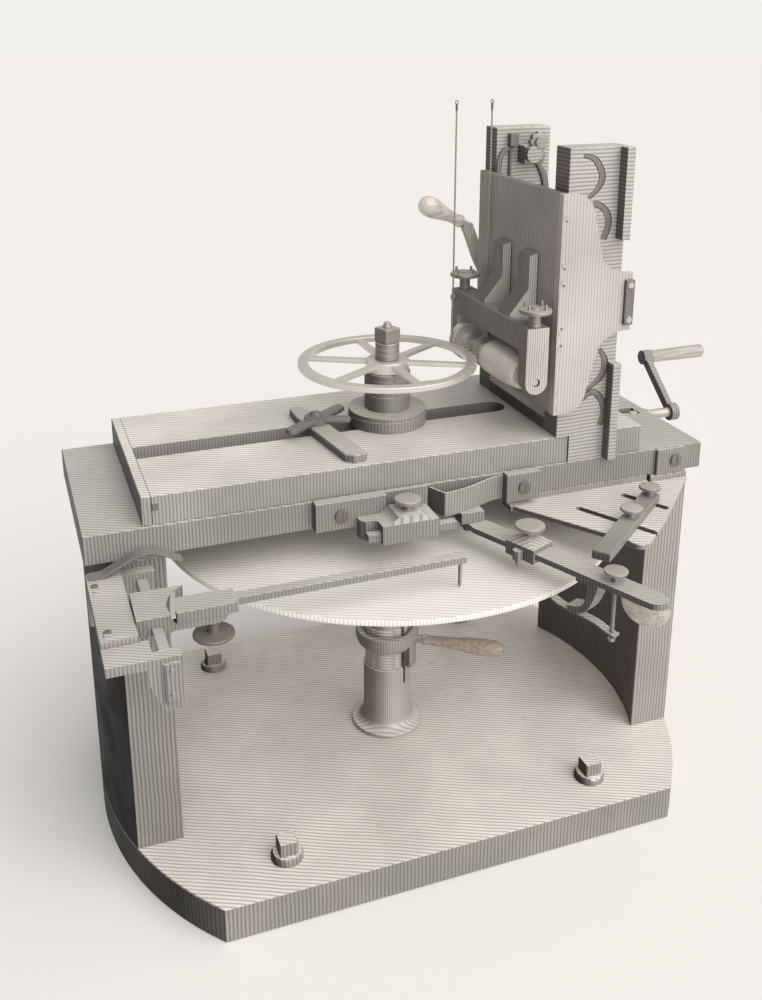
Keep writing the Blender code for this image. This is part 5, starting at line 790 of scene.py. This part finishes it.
plate_foot = foot_of("dividing_plate")
outline = [(0, 0), (324, 0), (325.1, 0.5), (325.5, 1.5), (325.5, 6.3), (325.1, 7.2), (324, 7.7), (38, 7.7)]
outline += [(35, 8.6), (34, 10.5), (34, 19.5), (33.4, 21), (32, 21.7), (0, 21.7)]
plate = turned("dividing_plate_finished", outline, plate_foot, steps=256)
fit_on(plate, "plate_brass", "dividing_plate")
print("dividing plate:", len(plate.data.polygons), "faces")

# %% Flange, sleeve and collars
outline = [(0, 0), (54.2, 0), (54.8, 0.6), (54.8, 14.4), (54.0, 15.1), (53.6, 15.8), (54.0, 16.5)]
outline += [(54.8, 17.2), (54.8, 20.2), (54.3, 21.3), (53.2, 21.7), (0, 21.7)]
fit_on(turned("spindle_flange_finished", outline, foot_of("spindle_flange")), "flange_iron", "spindle_flange")

outline = [(0, 0), (32, 0), (32, 21.4), (31.2, 22.3), (32, 23.2), (32, 44), (31.4, 44.6), (32, 45.2)]
outline += [(32, 52), (31.2, 53), (0, 53)]
fit_on(turned("arbor_sleeve_finished", outline, foot_of("arbor_sleeve")), "flange_iron", "arbor_sleeve")

outline = [(0, 0), (16.2, 0), (16.7, 0.5), (16.7, 7.5), (15.9, 8.1), (16.7, 8.7), (16.7, 15.5)]
outline += [(15.9, 16.1), (16.7, 16.7), (16.7, 23.4), (16.1, 24), (0, 24)]
collars = turned("arbor_collars_finished", outline, foot_of("arbor_collars"), steps=64)
fit_on(collars, "knob_steel", "arbor_collars")
print("collars:", len(collars.data.polygons), "faces")

# %% [markdown]
# ## The wheel being cut
#
# A clock wheel has a thin rim, a hub and a few arms, called crossings. The rim and the hub are turned, one
# arm is modelled and copied round, and the first tooth spaces are cut with small blocks, from the cutter
# round towards the front, as the machine would leave them half way through the work.

# %% Rim, hub, arms and tooth spaces
WHEEL_TEETH, TEETH_CUT = 48, 8
ARMS, FIRST_ARM_TURN = 6, 32
wheel_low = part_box("work_wheel")[0].z
rim_low = wheel_low + 0.0072
outline = [(110.6, 0), (123.4, 0), (124, 0.7), (124, 6.9), (123.4, 7.6), (110.6, 7.6), (110, 6.9), (110, 0.7)]
wheel = turned("work_wheel_finished", outline, (0, 0, rim_low), steps=192, closed=True)
outline = [(0, 0), (28.5, 0), (30, 1.2), (30, 14.8), (28.5, 16), (18, 16), (17.2, 15.4), (0, 15.4)]
hub = turned("wheel_hub", outline, (0, 0, wheel_low), steps=96)


def wheel_arm(turn):
    """An arm that tapers from the hub to the rim, turned to its place."""
    middle = (0.070, 0, rim_low + 0.0038)
    bpy.ops.mesh.primitive_cube_add(size=1, location=middle, scale=(0.084, 0.0118, 0.0058))
    arm = bpy.context.object
    bpy.ops.object.transform_apply(location=True, rotation=True, scale=True)
    for vertex in arm.data.vertices:
        if vertex.co.x > 0.09:
            vertex.co.y *= 0.80
    apply(arm, "BEVEL", width=0.0006, segments=2)
    arm.data.transform(Matrix.Rotation(radians(turn), 4, "Z"))
    return arm


for i in range(ARMS):
    combine(wheel, wheel_arm(FIRST_ARM_TURN + 360 / ARMS * i), "UNION")
combine(wheel, hub, "UNION")
for i in range(TEETH_CUT):
    bpy.ops.mesh.primitive_cube_add(size=1, location=(0.1250, 0, rim_low), scale=(0.0170, 0.0078, 0.030))
    space = bpy.context.object
    bpy.ops.object.transform_apply(location=True, rotation=True, scale=True)
    space.data.transform(Matrix.Rotation(-2 * pi * i / WHEEL_TEETH, 4, "Z"))
    combine(wheel, space, "DIFFERENCE")
fit_on(smooth(wheel, 32), "pale_brass", "work_wheel")
print("wheel:", len(wheel.data.polygons), "faces")

# %% [markdown]
# ## The cutter's arbor, bell nut and capstan screws
#
# The arbor runs between the frame's two arms. It carries the grooved pulley, the cutter, and a bell-shaped
# nut that holds the cutter on. Two capstan-headed screws with four pins each set the arbor's bearings from
# above.

# %% Arbor and bell
CUTTER = Vector((0.147, 0, 0.628))
outline = [(0, -157), (4.2, -157), (5, -156), (5, 1.8), (10.4, 1.8), (11, 2.4), (11, 11.2), (10.4, 11.8)]
outline += [(5, 11.8), (5, 39)]
outline += [(11.6, 39), (12.2, 39.8), (14.5, 45), (22.8, 45), (24.9, 43.2), (28.2, 43), (29, 43.8), (29, 46)]
outline += [(27.2, 47.4), (25.9, 48.8), (25.6, 50), (25.9, 51.2), (27.2, 52.6), (29, 54), (29, 56.2)]
outline += [(28.2, 57), (5, 57), (5, 76), (4.2, 77), (0, 77)]
fit_on(turned("cutter_arbor_finished", outline, CUTTER, "Y"), "bell_steel", "cutter_arbor")

outline = [(0, -126), (17.6, -126), (18.7, -125), (20.2, -120), (21.8, -108), (23.2, -90), (23.9, -70)]
outline += [(24, -42)]
for turn in (radians(degree) for degree in range(80, 0, -12)):
    outline.append((12 + 12 * sin(turn), -42 + 20 * cos(turn)))
outline += [(12, -21), (10.6, -19), (10.1, -16), (10.1, -1.8), (0, -1.8)]
fit_on(smooth(turned("arbor_bell_finished", outline, CUTTER, "Y"), 40), "bell_steel", "arbor_bell")
print("the cutter's axis is", round(CUTTER.z, 4), "m up")

# %% Capstan screws
def capstan_screw(name):
    """A disc on a short shank with four upright pins and a small stud in its middle."""
    foot = foot_of(name)
    outline = [(0, 0), (5.1, 0), (5.1, 28.3), (8.5, 28.3), (8.5, 30), (7.6, 31), (7.6, 44), (9.5, 46)]
    outline += [(19.4, 46), (21, 46.8)]
    outline += [(21.5, 48.2), (21.5, 49.8), (21, 51.2), (19.4, 52), (6, 52), (5.4, 53.4), (0, 53.8)]
    screw = turned(f"{name}_finished", outline, foot, steps=72)
    for i in range(4):
        turn = radians(30 + 90 * i)
        place = (foot.x + 0.0155 * cos(turn), foot.y + 0.0155 * sin(turn), foot.z)
        pin = turned("pin", [(0, 49), (1.9, 49), (1.9, 57.6), (1.3, 58.8), (0, 59)], place, steps=20)
        combine(screw, pin, "UNION")
    return fit_on(smooth(screw), "knob_steel", name)


for side in ("near", "far"):
    print(capstan_screw(f"capstan_screw_{side}").name)

# %% [markdown]
# ## Knobs and grips
#
# The knobs are discs with a domed top, a hollow under the rim and a milled edge for the fingers. The
# milling is made on the spun mesh: the faces of the rim are selected by where they look, inset one by one
# and pushed in a little. The wooden grips are turned in swelling curves that fill the palm.

# %% Helpers for milled knobs
def mill_rim(knob, centre, radius):
    """Inset each face of the rim and push it in, which leaves a row of fine ribs."""
    alone(knob)
    bpy.ops.object.mode_set(mode="EDIT")
    bpy.ops.mesh.select_all(action="DESELECT")
    bpy.ops.mesh.select_mode(type="FACE")
    bpy.ops.object.mode_set(mode="OBJECT")
    for face in knob.data.polygons:
        out = Vector((face.center.x - centre.x, face.center.y - centre.y))
        face.select = abs(face.normal.z) < 0.2 and out.length > radius * 0.985
    bpy.ops.object.mode_set(mode="EDIT")
    bpy.ops.mesh.inset(thickness=0.00018, depth=-0.00035, use_individual=True)
    bpy.ops.object.mode_set(mode="OBJECT")
    return knob


# Shares of the knob's radius and height, from the hollow under its rim to its domed top.
HEAD_PROFILE = (
    (0.46, 0.20), (0.90, 0.34), (0.97, 0.42), (1, 0.50), (1, 0.84), (0.975, 0.94), (0.92, 1), (0.5, 1.03),
)


def thumb_knob(name, radius, shank, seat, height):
    """A knob on its shank, in millimetres. seat is how far up the shank the knob's neck begins."""
    foot = foot_of(name)
    top = (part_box(name)[1].z - foot.z) / MM
    head = top - height * 1.04
    outline = [(0, 0), (shank, 0), (shank, seat), (shank + 2.2, seat), (shank + 1.6, (seat + head) / 2)]
    outline += [(shank + 2.2, head)]
    outline += [(radius * across, head + height * up) for across, up in HEAD_PROFILE]
    outline += [(0, top)]
    knob = turned(f"{name}_finished", outline, foot, steps=72)
    mill_rim(knob, foot, radius * MM)
    return fit_on(smooth(knob, 30), "knob_steel", name)


print(len(HEAD_PROFILE), "points on a knob's head")

# %% Milled knobs
thumb_knob("stop_knob", 17.5, 5.0, 22.0, 8.0)
thumb_knob("runner_knob", 19.0, 4.5, 13.5, 8.0)
thumb_knob("bar_knob_left", 14.5, 4.5, 23.1, 7.0)
thumb_knob("bar_knob_right", 14.5, 4.5, 23.1, 7.0)

rod_foot = foot_of("draw_knob")
rod_top = (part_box("draw_knob")[1].z - rod_foot.z) / MM
outline = [(0, 0), (4, 0), (4.5, 0.6), (4.5, 2.6), (2.5, 3.2)]
under_top = [(2.5, 15), (5, 15), (4.2, 9), (6.5, 7), (12.6, 4.6), (14.2, 3.8), (14.5, 3), (14.5, 1.4)]
under_top += [(14, 0.7), (12.8, 0.3), (0, 0)]
outline += [(radius, rod_top - below) for radius, below in under_top]
draw_knob = turned("draw_knob_finished", outline, rod_foot, steps=72)
fit_on(smooth(mill_rim(draw_knob, rod_foot, 0.0145), 30), "knob_steel", "draw_knob")

thumb_foot = foot_of("index_thumb_screw")
outline = [(0, 0), (21.6, 0), (23.2, 0.5), (24, 1.6), (24, 3.9), (23.2, 4.7), (21.6, 5), (10, 5.2)]
outline += [(7.5, 6.5), (6.6, 12), (6.5, 24.7), (5, 24.7), (5, 42.5), (0, 42.5)]
thumb = turned("index_thumb_screw_finished", outline, thumb_foot, steps=90)
fit_on(smooth(mill_rim(thumb, thumb_foot, 0.024), 30), "dark_steel", "index_thumb_screw")
print("thumb screw:", len(thumb.data.polygons), "faces")

# %% Wooden grips
grip_low, grip_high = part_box("crank_grip")
grip_foot = (grip_low.x, (grip_low.y + grip_high.y) / 2, (grip_low.z + grip_high.z) / 2)
outline = [(0, 0), (8.6, 0), (9.8, 0.8), (10.4, 2.6), (10.4, 5), (9.9, 8), (9.8, 12), (10.0, 40)]
outline += [(10.2, 70), (10.5, 90), (10.5, 94), (10.0, 96.6), (8.8, 97.8), (0, 98)]
fit_on(smooth(turned("crank_grip_finished", outline, grip_foot, "X", 64), 40), "grip_wood", "crank_grip")

lever_turn = Vector((-0.894, 0, 0.447)).normalized()
neck = Vector((0.1720, 0.1235, 0.7860))
outline = [(0, 8), (7.2, 8), (9.2, 9.5), (9.9, 12), (9.4, 15), (8.4, 19), (8.2, 24), (8.8, 31), (10.6, 40)]
outline += [(13.0, 50), (14.9, 58), (15.4, 65), (14.9, 71), (12.9, 77), (9.4, 81), (4.9, 82.8), (0, 83)]
fit_on(smooth(turned("lever_grip_finished", outline, neck, lever_turn, 64), 60), "lever_wood", "lever_grip")
print("crank grip", round(grip_high.x - grip_low.x, 4), "m long")

# %% [markdown]
# ## Shapes cut from plate
#
# Ribs, strips and pointers are flat shapes with a curved outline. The outline is drawn corner by corner in
# edit mode, filled with one face, and that face is extruded to the thickness.

# %% Flat shapes
def plate_shape(name, corners, push, bevel=0.0):
    """A flat shape through the corners, pushed out by a vector."""
    corners = [Vector(corner) for corner in corners]
    bpy.ops.mesh.primitive_plane_add(size=0.01, location=corners[0])
    piece = bpy.context.object
    bpy.ops.object.transform_apply(location=True, rotation=True, scale=True)
    piece.name = name
    bpy.ops.object.mode_set(mode="EDIT")
    bpy.ops.mesh.select_mode(type="VERT")
    bpy.ops.mesh.select_all(action="SELECT")
    bpy.ops.mesh.merge(type="CENTER")
    for before, after in zip(corners, corners[1:]):
        bpy.ops.mesh.extrude_vertices_move(TRANSFORM_OT_translate={"value": after - before})
    bpy.ops.mesh.select_all(action="SELECT")
    bpy.ops.mesh.edge_face_add()
    bpy.ops.mesh.extrude_region_move(TRANSFORM_OT_translate={"value": push})
    bpy.ops.mesh.select_all(action="SELECT")
    bpy.ops.mesh.normals_make_consistent(inside=False)
    bpy.ops.object.mode_set(mode="OBJECT")
    if bevel:
        apply(piece, "BEVEL", width=bevel, segments=2, limit_method="ANGLE", angle_limit=radians(50))
    return smooth(piece, 40)


print("a plate shape takes corners and a push")

# %% Curved ribs
def along_curve(points, count=8):
    """Points on a smooth curve through the given ones, by Catmull and Rom's rule."""
    points = [Vector(p) for p in points]
    ends = [points[0] * 2 - points[1], *points, points[-1] * 2 - points[-2]]
    curve = []
    for a, b, c, d in zip(ends, ends[1:], ends[2:], ends[3:]):
        for i in range(count):
            t = i / count
            square, cube = 2 * a - 5 * b + 4 * c - d, 3 * b - a - 3 * c + d
            curve.append(0.5 * (2 * b + (c - a) * t + square * t**2 + cube * t**3))
    return [*curve, points[-1]]


def rib_outline(middle, widths, y):
    """The outline of a rib in an upright plane, from points of (x, z) on its middle and its widths there."""
    line = along_curve([(x, z, w) for (x, z), w in zip(middle, widths)])
    left, right = [], []
    for i, (x, z, w) in enumerate(line):
        a, b = line[max(i - 1, 0)], line[min(i + 1, len(line) - 1)]
        ahead = Vector((b.x - a.x, 0, b.y - a.y)).normalized()
        side = Vector((-ahead.z, 0, ahead.x)) * (w / 2)
        left.append(Vector((x, y, z)) + side)
        right.append(Vector((x, y, z)) - side)
    return left + right[::-1]


print("a rib has", 2 * len(along_curve([(0, 0, 0), (1, 0, 0), (2, 0, 0)])), "corners over two spans")

# %% [markdown]
# ## The tower's cheeks
#
# Each cheek carries two curved bow springs, one shaped like a bracket and the other like a walking stick.
# On the near cheek the cutter slide's web passes in front, so they lie in shallow pockets there. On the far
# cheek they stand proud on the inside, beside the stop that limits the slide's rise.

# %% Bow springs in pockets on the near cheek
NEAR_FRONT, FAR_INSIDE = -0.144, 0.064
# Each spring: points of (x, z) on its middle, and its widths there.
NEAR_SPRINGS = {
    "bow_upper": (
        [(0.2085, 0.917), (0.2260, 0.9110), (0.2370, 0.891), (0.2310, 0.874), (0.2100, 0.856)],
        [0.0030, 0.0070, 0.0085, 0.0065, 0.0020],
    ),
    "stick_upper": (
        [(0.2150, 0.8460), (0.2300, 0.8545), (0.2460, 0.8440), (0.2500, 0.8266), (0.2440, 0.8080)],
        [0.0030, 0.0065, 0.0080, 0.0090, 0.0070],
    ),
    "bow_lower": (
        [(0.2485, 0.6600), (0.2580, 0.6400), (0.2530, 0.6200), (0.2280, 0.5990)],
        [0.0030, 0.0090, 0.0085, 0.0030],
    ),
    "stick_lower": (
        [(0.2235, 0.5880), (0.2413, 0.5990), (0.2560, 0.5870), (0.2620, 0.5680), (0.2560, 0.5500)],
        [0.0030, 0.0070, 0.0085, 0.0095, 0.0070],
    ),
}
POCKET_PLAY, POCKET_DEPTH, SPRING_THICKNESS = 0.0016, 0.0045, 0.0044
cheek = PIECES["tower_cheek_near"]
for name, (middle, widths) in NEAR_SPRINGS.items():
    wider = [width + POCKET_PLAY for width in widths]
    mouth = rib_outline(middle, wider, NEAR_FRONT - 0.002)
    pocket = plate_shape("pocket", mouth, Vector((0, POCKET_DEPTH + 0.002, 0)))
    combine(cheek, pocket, "DIFFERENCE")
    corners = rib_outline(middle, widths, NEAR_FRONT + 0.0001)
    spring = plate_shape(f"spring_{name}", corners, Vector((0, SPRING_THICKNESS, 0)), 0.0008)
    fit_on(spring, "dark_iron", on="tower_cheek_near")
smooth(cheek, 30)
print(len(NEAR_SPRINGS), "springs in the near cheek")

# %% Bow springs on the far cheek
FAR_SPRINGS = {
    "far_arch": (
        [(0.1925, 0.868), (0.1945, 0.8874), (0.2005, 0.9000), (0.2100, 0.9040)],
        [0.0075, 0.0080, 0.0070, 0.0050],
    ),
    "far_bow": (
        [(0.2520, 0.8850), (0.2650, 0.8650), (0.2700, 0.8430), (0.2680, 0.8300)],
        [0.0050, 0.0090, 0.0095, 0.0060],
    ),
}
for name, (middle, widths) in FAR_SPRINGS.items():
    corners = rib_outline(middle, widths, FAR_INSIDE + 0.0004)
    spring = plate_shape(f"spring_{name}", corners, Vector((0, -SPRING_THICKNESS, 0)), 0.0008)
    fit_on(spring, "dark_iron", on="tower_cheek_far")
print(len(FAR_SPRINGS), "springs on the far cheek")

# %% The top stop: a gauge, a pointer and a star wheel
gauge = block((0.2085, 0.0600, 0.8560), (0.2125, 0.0644, 0.9240), 0.0006)
fit_on(gauge, "dark_iron", on="tower_cheek_far").name = "stop_gauge"
gauge_block = block((0.2065, 0.0540, 0.9075), (0.2200, 0.0644, 0.9250), 0.0010)
fit_on(gauge_block, "dark_iron", on="tower_cheek_far").name = "stop_gauge_block"
corners = [(0.2270, 0.0644, 0.8935), (0.2380, 0.0644, 0.9040)]
corners += [(0.2560, 0.0644, 0.8970), (0.2530, 0.0644, 0.8840)]
pointer = plate_shape("stop_pointer", corners, Vector((0, -0.0240, 0)), 0.0010)
fit_on(pointer, "bracket_iron", on="tower_cheek_far")
STAR = Vector((0.2440, 0.0320, 0.9140))
STAR_NOTCHES = 8
outline = [(0, 0), (8, 0), (8, 5), (13.6, 6), (14.4, 7), (14.4, 14), (13.6, 15), (7, 16), (5.5, 21), (0, 22)]
star = turned("stop_star", outline, STAR, "Y", 48)
for i in range(STAR_NOTCHES):
    turn = radians(22.5 + 360 / STAR_NOTCHES * i)
    place = (STAR.x + 0.0155 * cos(turn), STAR.y, STAR.z + 0.0155 * sin(turn))
    notch = turned("notch", [(0, -5), (3.6, -5), (3.6, 30), (0, 30)], place, "Y", 20)
    combine(star, notch, "DIFFERENCE")
fit_on(smooth(star, 35), "knob_steel", on="tower_cheek_far")
print("star wheel:", len(star.data.polygons), "faces")

# %% [markdown]
# ## Screws and small fittings
#
# Slotted screws hold the plates. A head is turned, and a thin block cuts its slot. The cutter slide's web
# has a row of small screws along its edge, and the small plugs and strips are blocks.

# %% A slotted screw
def slot_screw(name, centre, way, radius, proud, node, finish="dark_steel", slot_turn=0.0):
    """A slotted head that stands proud of a face. way points out of the face."""
    way, centre = Vector(way), Vector(centre)
    r, h = radius, proud
    outline = [(0, -1.2), (r, -1.2), (r, h * 0.7), (r * 0.94, h * 0.93), (r * 0.84, h), (0, h)]
    head = turned(name, outline, centre, way, 40)
    slot_size = (4 * r * MM, max(0.22 * r, 0.6) * MM, h * MM)
    bpy.ops.mesh.primitive_cube_add(size=1, location=(0, 0, h * MM), scale=slot_size)
    slot = bpy.context.object
    bpy.ops.object.transform_apply(location=True, rotation=True, scale=True)
    turn = way.to_track_quat("Z", "Y").to_matrix().to_4x4() @ Matrix.Rotation(radians(slot_turn), 4, "Z")
    slot.data.transform(Matrix.Translation(centre) @ turn)
    combine(head, slot, "DIFFERENCE")
    return fit_on(smooth(head), finish, on=node)


FRONT, LEFT, UP = (0, -1, 0), (-1, 0, 0), (0, 0, 1)
print("a screw looks along", FRONT, LEFT, "or", UP)

# %% Screws and strips
for node, x in (("front_guide", -0.121), ("spring_plate", 0.136), ("bed_end_plate", 0.380)):
    slot_screw(f"{node}_screw", (x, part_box(node)[0].y + 0.0012, 0.483), FRONT, 8.8, 1.6, node, slot_turn=90)
web_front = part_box("cutter_slide_web")[0].y + 0.0066
for i, z in enumerate((0.8610, 0.8380, 0.7760, 0.7540, 0.6960, 0.6730, 0.6060, 0.5850)):
    place = (0.1835, web_front, z)
    slot_screw(f"web_screw_{i}", place, FRONT, 2.0, 0.5, "cutter_slide_web", slot_turn=40 * i)
clip = block((0.2738, web_front - 0.0054, 0.6935), (0.2872, web_front + 0.0010, 0.7545), 0.0012)
clip.name = "web_clip_bar"
fit_on(clip, "dark_iron", on="cutter_slide_web")
for i, z in enumerate((0.7030, 0.7470)):
    place = (0.2805, web_front - 0.0054, z)
    slot_screw(f"clip_screw_{i}", place, FRONT, 3.2, 0.8, "cutter_slide_web", "knob_steel", 30 + 50 * i)
for i, y in enumerate((0.0880, -0.0850)):
    slot_screw(f"batten_screw_{i}", (-0.365, y, 0.5200), LEFT, 6.0, 1.0, "end_batten", slot_turn=20 + 60 * i)
slot_screw("beam_end_screw", (0.131, 0.0690, 0.6900), LEFT, 4.6, 5.0, "cutter_frame", "knob_steel")
for i, (x, y) in enumerate(((-0.4288, -0.1822), (-0.4264, -0.2870))):
    place = (x, y, 0.4560)
    slot_screw(f"index_bracket_screw_{i}", place, UP, 4.2, 0.7, "index_bracket", slot_turn=15 + 40 * i)
arc = along_curve([(-0.3495, -0.2330, 0.4586), (-0.3552, -0.2600, 0.4586), (-0.3585, -0.2890, 0.4586)])
arc_edge = [point + Vector((0.0052, 0, 0)) for point in reversed(arc)]
strip = plate_shape("index_arc_strip", arc + arc_edge, Vector((0, 0, 0.0010)), 0.0002)
fit_on(strip, "pale_brass", on="index_block")
plug = block((-0.3520, -0.1418, 0.5205), (-0.3445, -0.1400, 0.5290), 0.0004)
plug.name = "slide_plug"
fit_on(plug, "dark_steel", on="sliding_plate")

# %% [markdown]
